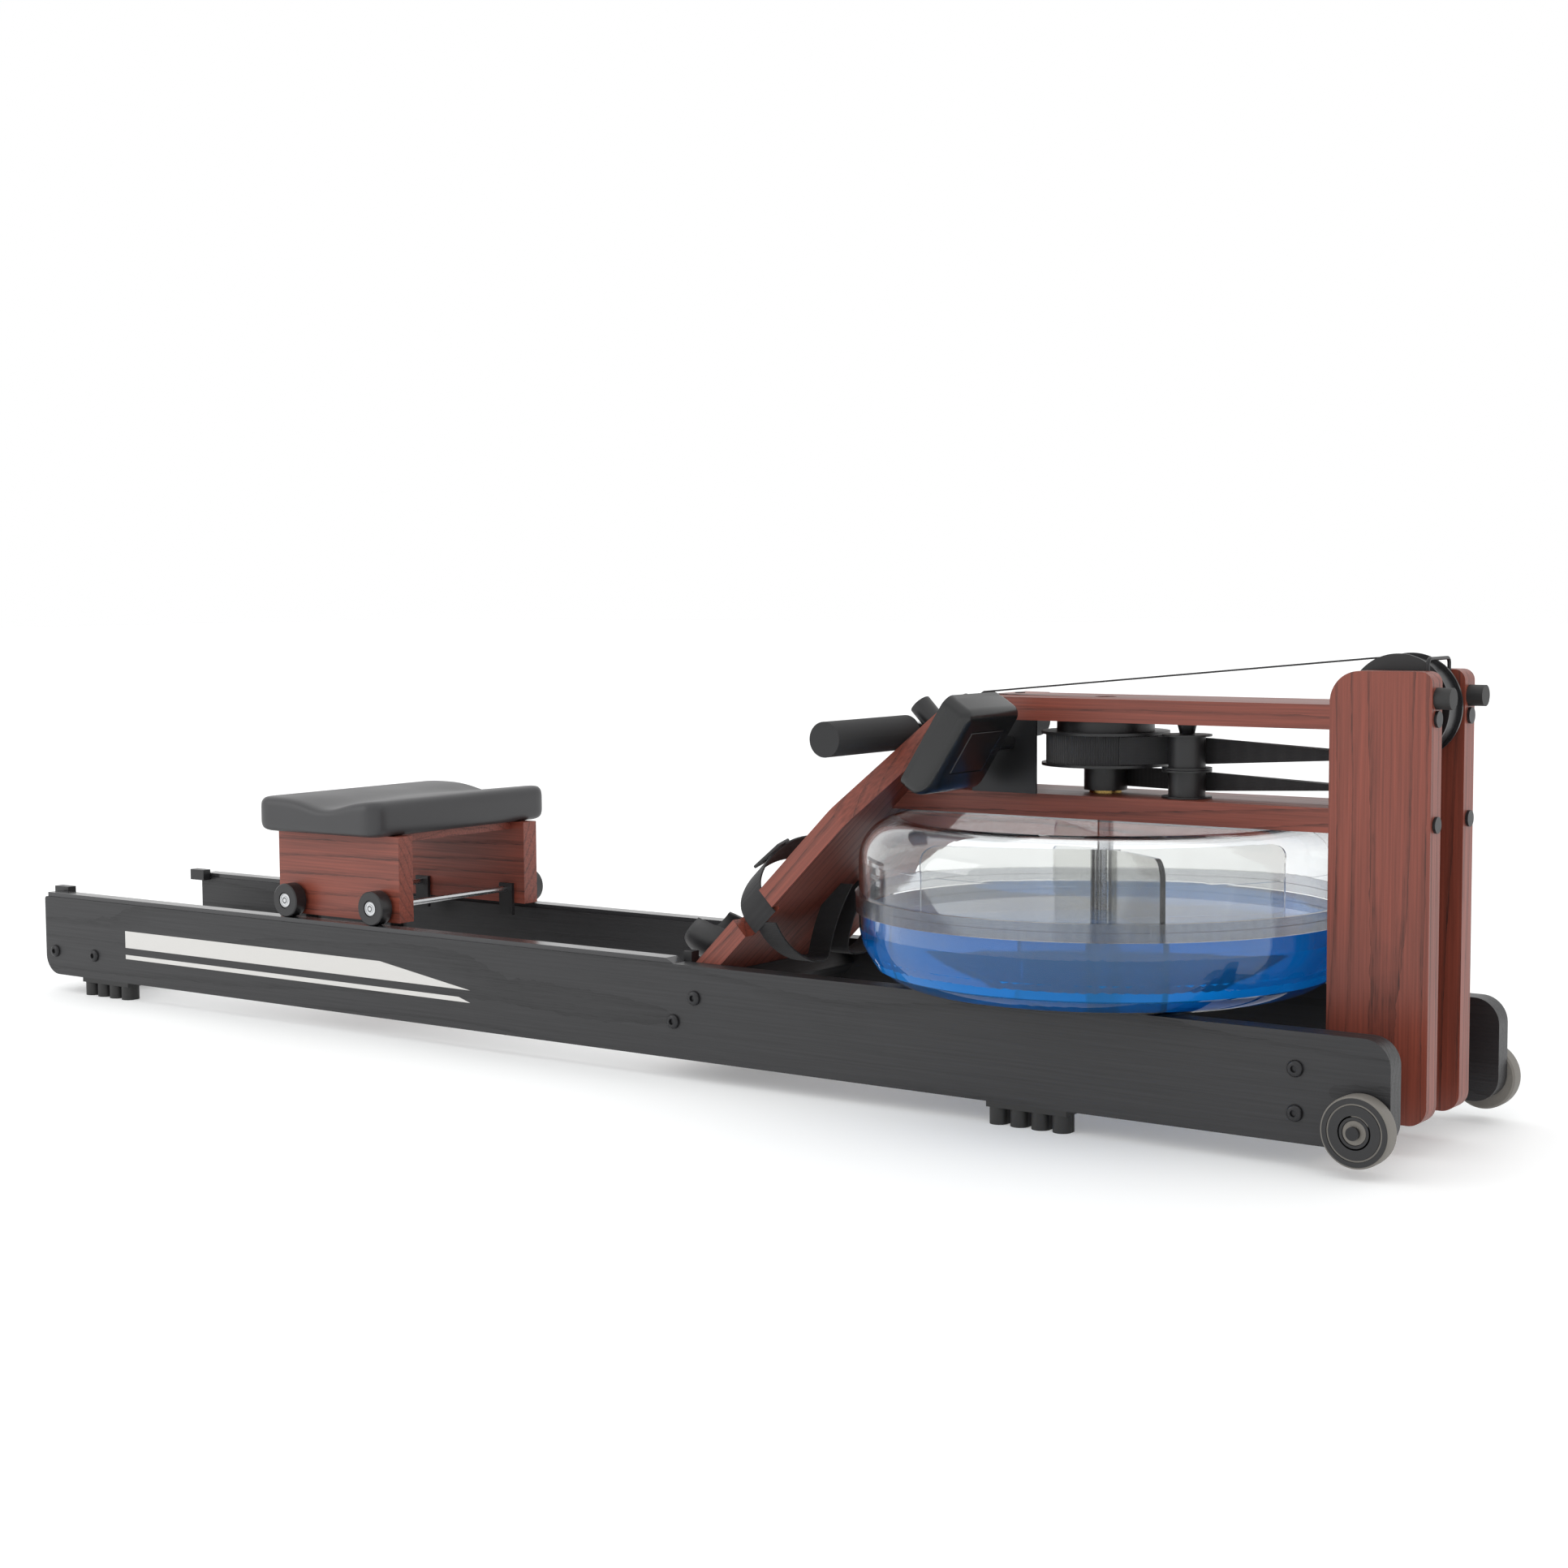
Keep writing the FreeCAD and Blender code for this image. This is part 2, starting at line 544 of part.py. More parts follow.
# ---- tank and water ----
def make_tank():
    outer = "(tank_radius - rim_step)"
    inner = "(tank_radius - rim_step - shell_wall)"
    seam = "seam_height"
    low = turned("tank_lower", [("0", "0"), (outer, "0"), (outer, seam), (inner, seam),
                                (inner, "shell_wall"), ("0", "shell_wall")],
                 [(1, "bottom_corner"), (4, "bottom_corner - shell_wall")])
    keep("tank_lower", place(low, "tank_x", "0", "rail_top"))
    hole = "shaft_radius + shaft_room"
    top = "tank_height"
    high = turned("tank_upper", [(hole, f"{top} - shell_wall"), (inner, f"{top} - shell_wall"),
                                 (inner, seam), (outer, seam), (outer, top), (hole, top)],
                  [(4, "top_corner"), (1, "top_corner - shell_wall")])
    bore_plug(high)
    keep("tank_upper", place(high, "tank_x", "0", "rail_top"))
    rim = turned("tank_rim", [(outer, f"{seam} - rim_height / 2"),
                              ("tank_radius", f"{seam} - rim_height / 2"),
                              ("tank_radius", f"{seam} + rim_height / 2"),
                              (outer, f"{seam} + rim_height / 2")])
    keep("tank_rim", place(rim, "tank_x", "0", "rail_top"))
    start = "(blade_span + water_room)"
    bend = "(bottom_corner - shell_wall)"
    middle = f"({inner} - {bend})"
    wet = "water_gap"
    water = turned("water", [(start, f"bottom_corner - sqrt({bend}^2 - ({start} - {middle})^2) + {wet}"),
                             (f"{middle} + {bend} * {HALF_ROOT} - {wet}",
                              f"bottom_corner - {bend} * {HALF_ROOT} + {wet}"),
                             (f"{inner} - {wet}", "bottom_corner"), (f"{inner} - {wet}", "water_level"),
                             (start, "water_level")])
    keep("water", place(water, "tank_x", "0", "rail_top"))


def bore_plug(body):
    """The filling hole in the tank's top, beside the deck."""
    sketch = body.newObject("Sketcher::SketchObject", body.Name + "_filler")
    plane = [item for item in body.Origin.OriginFeatures if item.Role == "XY_Plane"][0]
    sketch.AttachmentSupport = [(plane, "")]
    sketch.MapMode = "FlatFace"
    spot = Vector(0, size("plug_place"), 0)
    sketch.addGeometry(Part.Circle(spot, Vector(0, 0, 1), size("plug_radius")), False)
    sketch.addConstraint(Sketcher.Constraint("Radius", 0, size("plug_radius")))
    bind(sketch, "Constraints[0]", "plug_radius")
    sketch.addConstraint(Sketcher.Constraint("DistanceY", -1, 1, 0, 3, size("plug_place")))
    bind(sketch, "Constraints[1]", "plug_place")
    sketch.addConstraint(Sketcher.Constraint("PointOnObject", 0, 3, -2))
    pocket = body.newObject("PartDesign::Pocket", body.Name + "_filler_hole")
    pocket.Profile = sketch
    pocket.Type = "ThroughAll"
    pocket.Reversed = True
    body.Tip = pocket
    doc.recompute()


def make_plug():
    stem = rod("plug_stem", "plug_radius - joint_gap", "shell_wall", "tank_x", "plug_place",
               "tank_top - shell_wall")
    cap = rod("plug_cap", "plug_radius + shell_wall", "plug_height", "tank_x", "plug_place", "tank_top")
    keep("tank_plug", fuse("tank_plug", [stem, cap]))


# ---- paddle, shaft and drums ----
def make_paddle():
    low = "shell_wall + blade_gap"
    high = "shell_wall + blade_gap + blade_height"
    corners = [("hub_radius - 2", low), ("blade_span", low), ("blade_span", high),
               ("hub_radius - 2", high)]
    pieces = []
    for number in range(4):
        blade = plate(f"blade{number}", "XZ_Plane", corners, "blade_thick",
                      [(1, "blade_round"), (2, "blade_round")])
        pieces.append(place(blade, "tank_x", "0", "rail_top", (0, 0, 1), str(45 + 90 * number)))
    sleeve = cut("blade_sleeve",
                 rod("sleeve_outer", "hub_radius", "blade_height", "tank_x", "0", f"rail_top + {low}"),
                 [rod("sleeve_inner", "shaft_radius", "blade_height", "tank_x", "0",
                      f"rail_top + {low}")])
    keep("paddle", fuse("paddle", pieces + [sleeve]))


def make_shaft():
    length = "top_deck - rail_top - shell_wall - blade_gap + shaft_top_reach"
    keep("drive_shaft", rod("drive_shaft", "shaft_radius", length, "tank_x", "0",
                            "rail_top + shell_wall + blade_gap"))
    bush = cut("shaft_bush", rod("bush_outer", "bush_radius", "bush_height", "tank_x", "0",
                                 "low_deck_top"),
               [rod("bush_inner", "shaft_radius + run_gap", "bush_height", "tank_x", "0",
                    "low_deck_top")])
    keep("shaft_bush", bush)


def spool(label, corners, level):
    return keep(label, place(turned(label, corners), "tank_x", "0", level))


def make_drums():
    hole = "shaft_radius + run_gap"
    flange = "flange_thick"
    rim = "drum_height + flange_thick"
    spool("drum", [(hole, "0"), ("flange_radius", "0"), ("flange_radius", flange),
                   ("drum_radius", flange), ("drum_radius", rim), ("flange_radius", rim),
                   ("flange_radius", f"{rim} + {flange}"), (hole, f"{rim} + {flange}")], "drum_level")
    spool("wound_strap", [("drum_radius", flange), ("drum_radius + wound_thick", flange),
                          ("drum_radius + wound_thick", rim), ("drum_radius", rim)], "drum_level")
    spool("clutch_hub", [(hole, "0"), ("clutch_radius", "0"), ("clutch_radius", "clutch_height - 0.5"),
                         (hole, "clutch_height - 0.5")], "drum_level + drum_height + flange_thick * 2")
    spool("recoil_drum", [(hole, "0.3"), ("recoil_radius", "0.3"),
                          ("recoil_radius", "drum_level - recoil_level"),
                          (hole, "drum_level - recoil_level")], "recoil_level")


# ---- guide rollers ----
ROLLER_Y = "-roller_offset"


def roller(label, low, high):
    """A flanged roller that turns on the guide post."""
    hole = "post_radius + run_gap"
    thick = "roller_flange_thick"
    corners = [(hole, "0"), ("roller_flange", "0"), ("roller_flange", thick), ("roller_radius", thick),
               ("roller_radius", f"{high} - ({low}) - {thick}"),
               ("roller_flange", f"{high} - ({low}) - {thick}"), ("roller_flange", f"{high} - ({low})"),
               (hole, f"{high} - ({low})")]
    return keep(label, place(turned(label, corners), "roller_x", ROLLER_Y, low))


def make_rollers():
    roller("guide_roller_upper", "drum_level + roller_rise", "top_deck - roller_headroom")
    roller("guide_roller_lower", "low_deck_top + roller_rise", "drum_level - roller_rise")
    post = rod("post_shank", "post_radius", "drive_space", "roller_x", ROLLER_Y, "low_deck_top")
    boss = cone("post_collar", "post_radius + 3", "post_boss", "roller_headroom - 0.5", "roller_x",
                ROLLER_Y, "top_deck - roller_headroom + 0.5")
    keep("guide_post", fuse("guide_post", [post, boss]))


# ---- pulleys between the uprights ----
def pulley(label, radius, flange, x, level):
    """A flanged wheel about a cross axle, between the uprights."""
    half = "(pulley_width / 2)"
    groove = "(pulley_width / 2 - flange_thick)"
    hole = "axle_radius + run_gap"
    corners = [(hole, f"-{half}"), (flange, f"-{half}"), (flange, f"-{groove}"), (radius, f"-{groove}"),
               (radius, groove), (flange, groove), (flange, half), (hole, half)]
    return keep(label, place(turned(label, corners), x, "0", level, (1, 0, 0), "90"))


def make_pulleys():
    pulley("top_pulley", "pulley_radius", "pulley_flange", "pulley_x", "pulley_z")
    pulley("recoil_pulley", "return_radius", "return_radius + 4", "return_x", "return_z")
    axles = [rod(name, "axle_radius", "upright_gap", x, "upright_gap / 2", level, "y")
             for name, x, level in (("top_axle", "pulley_x", "pulley_z"),
                                    ("recoil_axle", "return_x", "return_z"),
                                    ("recoil_anchor",
                                     "return_x + return_radius + strap_gap"
                                     " - cord_radius * 2", "cord_level + cord_radius * 3"))]
    keep("pulley_axles", group("pulley_axles", axles))


def bent_wire(label, points, radius):
    """A round wire through points, with each bend rounded; points are vectors in the object's frame."""
    bend = radius * 3
    edges = []
    start = points[0]
    for before, corner, after in zip(points, points[1:], points[2:]):
        enter = corner + (before - corner).normalize() * bend
        leave = corner + (after - corner).normalize() * bend
        middle = (enter + leave) * 0.5
        span = (corner - middle).Length
        across = (enter - middle).Length
        turn_radius = bend * across / span
        top = corner + (middle - corner).normalize() * (math.hypot(bend, turn_radius) - turn_radius)
        edges.append(Part.LineSegment(start, enter).toShape())
        edges.append(Part.Arc(enter, top, leave).toShape())
        start = leave
    edges.append(Part.LineSegment(start, points[-1]).toShape())
    path = Part.Wire(edges)
    section = Part.Wire(Part.makeCircle(radius, points[0], points[1] - points[0]))
    item = doc.addObject("Part::Feature", label)
    item.Shape = path.makePipeShell([section], True, True)
    return item


def make_keeper():
    """A bent wire arch over the top pulley that keeps the strap on it."""
    wire = size("keeper_wire")
    x = size(f"upright_mid + keeper_forward - {ORIGIN_X}")
    side = size("upright_gap / 2") - wire - 0.2
    low = size("upright_top - keeper_drop")
    top = size("pulley_z + keeper_rise")
    points = [Vector(x, -side, low), Vector(x, -side, top), Vector(x, side, top), Vector(x, side, low)]
    keep("strap_keeper", bent_wire("strap_keeper", points, wire))


# ---- straps and belts ----
def ribbon(start, end, width_vector, thick_vector):
    """A straight flat run of webbing between two points of its middle line."""
    half_w = width_vector * 0.5
    half_t = thick_vector * 0.5
    loops = []
    for spot in (start, end):
        corners = [spot + half_w + half_t, spot - half_w + half_t, spot - half_w - half_t,
                   spot + half_w - half_t]
        loops.append(Part.makePolygon(corners + corners[:1]))
    return Part.makeLoft(loops, True, True)


def twisted_ribbon(start, end, width, thick):
    """A run that stands on edge at its start and lies flat at its end."""
    loops = []
    for spot, wide_way, thick_way in ((start, Vector(0, 0, 1), Vector(0, 1, 0)),
                                      (end, Vector(0, 1, 0), Vector(0, 0, -1))):
        corners = [spot + wide_way * (a * width / 2) + thick_way * (b * thick / 2)
                   for a, b in ((1, 1), (-1, 1), (-1, -1), (1, -1))]
        loops.append(Part.makePolygon(corners + corners[:1]))
    return Part.makeLoft(loops, True, True)


def drive_run(drum_radius, level, width, end, far_side):
    """Webbing off a drum's near or far side, round the back of the guide roller, on to a pulley."""
    thick = size("strap_thick")
    away = size("strap_gap") + thick / 2
    drum = Vector(size(f"tank_x - {ORIGIN_X}"), 0, level)
    guide = Vector(size(f"roller_x - {ORIGIN_X}"), size(ROLLER_Y), level)
    drum_reach = (drum_radius + away) * (1 if far_side else -1)
    guide_reach = size("roller_radius") + away
    line = guide - drum
    heading = math.atan2(line.y, line.x) - math.asin((drum_reach - guide_reach) / line.Length)
    normal = Vector(-math.sin(heading), math.cos(heading), 0)
    meet = guide + normal * guide_reach
    up = Vector(0, 0, width)
    run = ribbon(drum + normal * drum_reach, meet, up, normal * thick)
    wrap = swept_band(meet, up, normal * thick, guide, Vector(0, 0, -1), math.degrees(heading))
    return [run, wrap, twisted_ribbon(guide + Vector(0, guide_reach, 0), end, width, thick)]


def swept_band(spot, width_vector, thick_vector, centre, axis, angle):
    """A band of webbing bent round a centre, starting at a spot on its middle line."""
    half_w = width_vector * 0.5
    half_t = thick_vector * 0.5
    corners = [spot + half_w + half_t, spot - half_w + half_t, spot - half_w - half_t,
               spot + half_w - half_t]
    face = Part.Face(Part.makePolygon(corners + corners[:1]))
    return face.revolve(centre, axis, angle)


def joined(label, pieces):
    item = doc.addObject("Part::Feature", label)
    item.Shape = pieces[0].multiFuse(pieces[1:])
    return keep(label, item)


def make_belts():
    thick = size("strap_thick")
    away = size("strap_gap") + thick / 2
    level = size("drum_level + flange_thick + drum_height / 2")
    end = Vector(size(f"pulley_x - {ORIGIN_X}"), 0, size("pulley_z - pulley_radius") - away)
    joined("drive_strap", drive_run(size("drum_radius + wound_thick"), level, size("strap_width"), end,
                                    False))
    width = size("recoil_height")
    level = size("recoil_level + (drum_level - recoil_level) / 2")
    centre = Vector(size(f"return_x - {ORIGIN_X}"), 0, size("return_z"))
    end = centre + Vector(0, 0, size("return_radius") + away)
    wrap = swept_band(end, Vector(0, width, 0), Vector(0, 0, thick), centre, Vector(0, 1, 0), 90)
    joined("recoil_belt", drive_run(size("recoil_radius"), level, width, end, True) + [wrap])


def make_recoil_cord():
    """The elastic cord that pulls the recoil belt tight: down from the belt's end, round a pin
    and back under the tank to the board behind the footboard."""
    away = size("return_radius + strap_gap + cord_radius")
    bow = size(f"return_x - {ORIGIN_X}") + away
    top = size("return_z") - 1
    level = size("cord_level")
    stern = size(f"cord_end_x - {ORIGIN_X}")
    points = [Vector(bow, 0, top), Vector(bow, 0, level), Vector(stern, 0, level)]
    keep("recoil_cord", bent_wire("recoil_cord", points, size("cord_radius")))


def make_handle_strap():
    """Webbing round the bow side of the pulley, over the top deck's end and down to the handle."""
    thick = size("strap_thick")
    gap = size("strap_gap")
    slope = math.radians(size("board_slope"))
    up_slope = Vector(math.cos(slope), 0, math.sin(slope))
    off_board = Vector(-math.sin(slope), 0, math.cos(slope))
    foot = Vector(size(f"foot_x - {ORIGIN_X}"), 0, size("rail_top"))
    centre = Vector(size(f"pulley_x - {ORIGIN_X}"), 0, size("pulley_z"))
    start = centre + Vector(0, 0, size("pulley_radius") + gap + thick / 2)
    corner = foot + up_slope * size("foot_run") + off_board * (gap + thick) + Vector(0, 0, gap)
    handle = (foot + up_slope * (size("handle_station + bar_radius") + gap * 2)
              + off_board * size("handle_height"))
    width = Vector(0, size("pull_strap_width"), 0)
    rise = Vector(0, 0, thick)
    joined("handle_strap", [ribbon(start, corner, width, rise), ribbon(corner, handle, width, rise),
                            swept_band(start, width, rise, centre, Vector(0, 1, 0), 180)])


# ---- handle ----
def make_handle():
    x = "(foot_x + handle_station * slope_cos - handle_height * slope_sin)"
    level = "(rail_top + handle_station * slope_sin + handle_height * slope_cos)"
    keep("handle_bar", rod("handle_bar", "bar_radius", "handle_half * 2 - grip_wall * 2", x,
                           "handle_half - grip_wall", level, "y"))
    grips = []
    for side, sign in SIDES:
        start = "-handle_half + grip_length" if sign < 0 else "handle_half"
        outer = rod("grip_" + side, "grip_radius", "grip_length", x, start, level, "y")
        hole_start = start if sign < 0 else "handle_half - grip_wall"
        hole = rod("grip_hole_" + side, "bar_radius", "grip_length - grip_wall", x, hole_start,
                   level, "y")
        grips.append(cut("grip_shell_" + side, outer, [hole]))
    keep("handle_grips", group("handle_grips", grips))


# ---- seat ----
def seat_wheel_pair(label, x):
    wheels = []
    reach = "(rail_middle - seat_wheel_width / 2)"
    for side, sign in SIDES:
        start = f"{reach} + seat_wheel_width" if sign > 0 else f"-{reach}"
        outer = rod(f"{label}_{side}", "seat_wheel_radius", "seat_wheel_width", x, start,
                    "seat_axle_level", "y")
        hole = rod(f"{label}_bore_{side}", "seat_axle_radius + run_gap", "seat_wheel_width", x, start,
                   "seat_axle_level", "y")
        wheels.append(cut(f"{label}_wheel_{side}", outer, [hole]))
    keep(label, group(label, wheels))


def make_seat():
    front = "(seat_x + axle_pitch / 2)"
    rear = "(seat_x - axle_pitch / 2)"
    axle_half = "(rail_middle + seat_wheel_width / 2)"
    middle = "(seat_x + cheek_forward)"
    axles = [rod(name, "seat_axle_radius", f"{axle_half} * 2", x, axle_half, "seat_axle_level", "y")
             for name, x in (("front_axle", front), ("rear_axle", rear))]
    cheeks = []
    for side, sign in SIDES:
        block = centred_box("cheek_" + side, "cheek_length", "cheek_thick", "cheek_height", middle,
                            f"{sign} * (cheek_spread / 2 - cheek_thick / 2)", "cheek_base")
        holes = [rod(f"cheek_hole_{side}{number}", "seat_axle_radius", "cheek_spread + 2", x,
                     "cheek_spread / 2 + 1", "seat_axle_level", "y")
                 for number, x in enumerate((front, rear))]
        cheeks.append(cut("seat_cheek_" + side, block, holes))
    keep("seat_axles", group("seat_axles", axles))
    keep("seat_sides", group("seat_sides", cheeks))
    keep("seat_board", centred_box("seat_board", "cushion_length - cushion_round * 2",
                                   "cheek_spread - cheek_thick * 2", "seat_board_thick",
                                   "seat_x - cushion_back", "0", "cheek_top - seat_board_thick"))
    cushion = plate("seat_cushion", "XY_Plane",
                    [("-cushion_length / 2", "-cushion_width / 2"),
                     ("cushion_length / 2", "-cushion_width / 2"),
                     ("cushion_length / 2", "cushion_width / 2"),
                     ("-cushion_length / 2", "cushion_width / 2")], "cushion_height",
                    [(corner, "cushion_round") for corner in range(4)])
    keep("seat_cushion", place(cushion, "seat_x - cushion_back", "0",
                               "cheek_top + cushion_height / 2"))
    seat_wheel_pair("seat_wheels_front", front)
    seat_wheel_pair("seat_wheels_rear", rear)
    make_seat_guards(front, rear)


def make_seat_guards(front, rear):
    """Hooks inside the rails, one at each axle, that keep the seat from lifting off."""
    guards = []
    for side, sign in SIDES:
        for number, x in enumerate((front, rear)):
            name = f"seat_guard_{side}{number}"
            across = f"{sign} * (cheek_spread / 2 - cheek_thick - guard_thick / 2)"
            arm = centred_box(name + "_arm", "guard_width", "guard_thick", "guard_height", x, across,
                              "seat_axle_level - guard_height + seat_axle_radius * 2")
            hole = rod(name + "_hole", "seat_axle_radius", "guard_thick + 2", x,
                       f"{across} + guard_thick / 2 + 1", "seat_axle_level", "y")
            guards.append(cut(name, arm, [hole]))
    keep("seat_guards", group("seat_guards", guards))


# ---- transport wheels ----
def make_transport_wheels():
    x = "rail_length - wheel_setback"
    axles = []
    for side, sign in SIDES:
        away = "rail_spread / 2 + joint_gap"
        start = f"-({away})" if sign < 0 else f"{away} + wheel_width"
        outer = rod("tyre_" + side, "wheel_radius", "wheel_width", x, start, "wheel_level", "y")
        hole = rod("tyre_bore_" + side, "wheel_axle + run_gap", "wheel_width", x, start, "wheel_level",
                   "y")
        keep("transport_wheel_" + side, cut("transport_wheel_" + side, outer, [hole]))
        reach = "(wheel_width + joint_gap * 2)"
        shank_start = "-rail_spread / 2" if sign < 0 else f"rail_spread / 2 + {reach}"
        past = f"rail_spread / 2 + {reach}"
        head_start = f"-({past})" if sign < 0 else f"{past} + wheel_head"
        shank = rod("wheel_shank_" + side, "wheel_axle", reach, x, shank_start, "wheel_level", "y")
        head = rod("wheel_head_" + side, "wheel_axle * 1.7", "wheel_head", x, head_start, "wheel_level",
                   "y")
        axles.append(fuse("wheel_bolt_" + side, [shank, head]))
    keep("transport_axles", group("transport_axles", axles))


# ---- heel cups and foot straps ----
def make_heel_cups():
    """An open cup on the footboard for each heel: a sole plate, a back wall and two side walls."""
    for side, sign in SIDES:
        across = f"({sign} * heel_offset)"
        low = "heel_station"
        pieces = []
        walls = (("sole", "0", "heel_length", "0", "heel_width", "heel_plate"),
                 ("back", "0", "heel_plate", "0", "heel_width", "heel_height"),
                 ("near", "0", "heel_length * 0.6", "-heel_width / 2 + heel_plate / 2", "heel_plate",
                  "heel_height * 0.6"),
                 ("far", "0", "heel_length * 0.6", "heel_width / 2 - heel_plate / 2", "heel_plate",
                  "heel_height * 0.6"))
        for name, start, length, middle, width, height in walls:
            item = doc.addObject("Part::Box", f"heel_{name}_{side}")
            bind(item, "Length", length)
            bind(item, "Width", width)
            bind(item, "Height", height)
            pieces.append(on_board(item, f"{low} + {start}", f"{across} + {middle} - ({width}) / 2",
                                   "joint_gap / 2"))
        keep("heel_cup_" + side, fuse("heel_cup_" + side, pieces))


def make_foot_straps():
    """A webbing loop over each foot: up from the board's edge, across the foot and down again."""
    straps = []
    for side, sign in SIDES:
        across = f"({sign} * (foot_width / 2 - strap_slot_depth - loop_span / 2 + webbing_thick))"
        half = "loop_span / 2"
        body = plate("foot_strap_" + side, "YZ_Plane",
                     [(f"-{half}", "0"), (f"-{half}", "loop_shoulder"), ("-loop_crown / 2", "loop_height"),
                      ("loop_crown / 2", "loop_height"), (half, "loop_shoulder"), (half, "0"),
                      (f"{half} - webbing_thick", "0"), (f"{half} - webbing_thick", "loop_shoulder"),
                      ("loop_crown / 2", "loop_height - webbing_thick"),
                      ("-loop_crown / 2", "loop_height - webbing_thick"),
                      (f"-{half} + webbing_thick", "loop_shoulder"), (f"-{half} + webbing_thick", "0")],
                     "loop_width")
        straps.append(on_board(body, "loop_station", across, "joint_gap / 2"))
    keep("foot_straps", group("foot_straps", straps))


# ---- console ----
def on_console(item, station, across, rise):
    """Puts an object on the tilted console: station up its face, rise off the face."""
    tilt = "console_tilt * 1 deg"
    foot = "deck_top - console_drop - bezel_drop"
    return place(item,
                 f"foot_tip + console_gap + ({station}) * cos({tilt}) - ({rise}) * sin({tilt})",
                 across, f"{foot} + ({station}) * sin({tilt}) + ({rise}) * cos({tilt})",
                 (0, 1, 0), "-console_tilt")


CONSOLE_Y = "(-deck_width / 2 - plate_thick - console_near - console_width / 2)"


def console_box(label, length, width, height, station, across, rise):
    item = doc.addObject("Part::Box", label)
    bind(item, "Length", length)
    bind(item, "Width", width)
    bind(item, "Height", height)
    return on_console(item, station, f"{across} - ({width}) / 2", rise)


def make_console():
    far = "console_length"
    deep = "-console_depth"
    shell = plate("console_shell", "XZ_Plane",
                  [("0", "0"), (far, "0"), (f"{far} - console_round", deep), ("console_round", deep)],
                  "console_width", [(2, "console_round"), (3, "console_round")])
    on_console(shell, "0", CONSOLE_Y, "0")
    hollow = console_box("console_hollow", "console_length - console_round * 2",
                         "console_width - console_wall * 2", "console_depth - console_wall * 2 + 1",
                         "console_round", CONSOLE_Y, "-console_depth + console_wall * 2")
    keep("console_back", cut("console_back", shell, [hollow]))
    bezel = plate("console_bezel", "XY_Plane",
                  [("0", "-console_width / 2"), (far, "-console_width / 2"), (far, "console_width / 2"),
                   ("0", "console_width / 2")], "bezel_thick",
                  [(corner, "console_round") for corner in range(4)])
    on_console(bezel, "0", CONSOLE_Y, "bezel_thick / 2")
    window = console_box("lens_seat", "lens_length", "lens_width", "lens_thick + 1", "lens_station",
                         CONSOLE_Y, "bezel_thick - lens_thick")
    key_hole = console_disc("key_hole", "key_radius + key_gap", "bezel_thick + 2", "-1")
    keep("console_front", cut("console_front", bezel, [window, key_hole]))
    keep("console_lens", console_box("console_lens", "lens_length - 0.2", "lens_width - 0.2",
                                     "lens_thick", "lens_station + 0.1", CONSOLE_Y,
                                     "bezel_thick - lens_thick"))
    keep("console_key", console_disc("console_key", "key_radius", "bezel_thick + key_travel * 0.5",
                                     "key_travel"))
    make_bracket()


def console_disc(label, radius, length, rise):
    item = doc.addObject("Part::Cylinder", label)
    bind(item, "Radius", radius)
    bind(item, "Height", length)
    return on_console(item, "key_station", CONSOLE_Y, rise)


def make_bracket():
    """A steel side plate between the decks with the stub that the console turns on."""
    side = box("bracket_plate", "plate_length", "plate_thick", "drive_space", "foot_tip + plate_gap",
               "-deck_width / 2 - plate_thick", "low_deck_top")
    stub = doc.addObject("Part::Cylinder", "bracket_stub")
    bind(stub, "Radius", "pivot_radius")
    bind(stub, "Height", "console_near - 0.3")
    tilt = "console_tilt * 1 deg"
    station = "pivot_station"
    depth = "pivot_depth"
    place(stub, f"foot_tip + console_gap + {station} * cos({tilt}) + {depth} * sin({tilt})",
          "-deck_width / 2 - plate_thick",
          f"deck_top - console_drop - bezel_drop + {station} * sin({tilt}) - {depth} * cos({tilt})",
          (1, 0, 0), "90")
    keep("console_bracket", fuse("console_bracket", [side, stub]))


def check_and_write():
    """Stops if anything failed to build, then writes each sub-part to its own file."""
    doc.recompute()
    for item in doc.Objects:
        if "Invalid" in item.State or "Error" in item.State:
            raise RuntimeError(f"{item.Label} failed: {item.State}")
    os.makedirs("parts", exist_ok=True)
    for label, item in parts.items():
        if item.Shape.isNull() or not item.Shape.isValid() or not item.Shape.Solids:
            raise RuntimeError(label + " has no valid solid")
        item.Shape.exportStep(f"parts/{label}.step")
    print(len(parts), "sub-parts written")


make_rails()
make_tracks()
make_seat_stops()
make_spreaders()
make_feet()
make_rail_bolts()
make_uprights()
make_decks()
make_deck_bolts()
make_bumpers()
make_footboard()
make_pegs()
make_tank()
make_plug()
make_paddle()
make_shaft()
make_drums()
make_rollers()
make_pulleys()
make_keeper()
make_belts()
make_recoil_cord()
make_handle_strap()
make_handle()
make_seat()
make_transport_wheels()
make_heel_cups()
make_foot_straps()
make_console()
check_and_write()
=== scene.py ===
import math
import bmesh
import bpy
from mathutils import Matrix, Vector


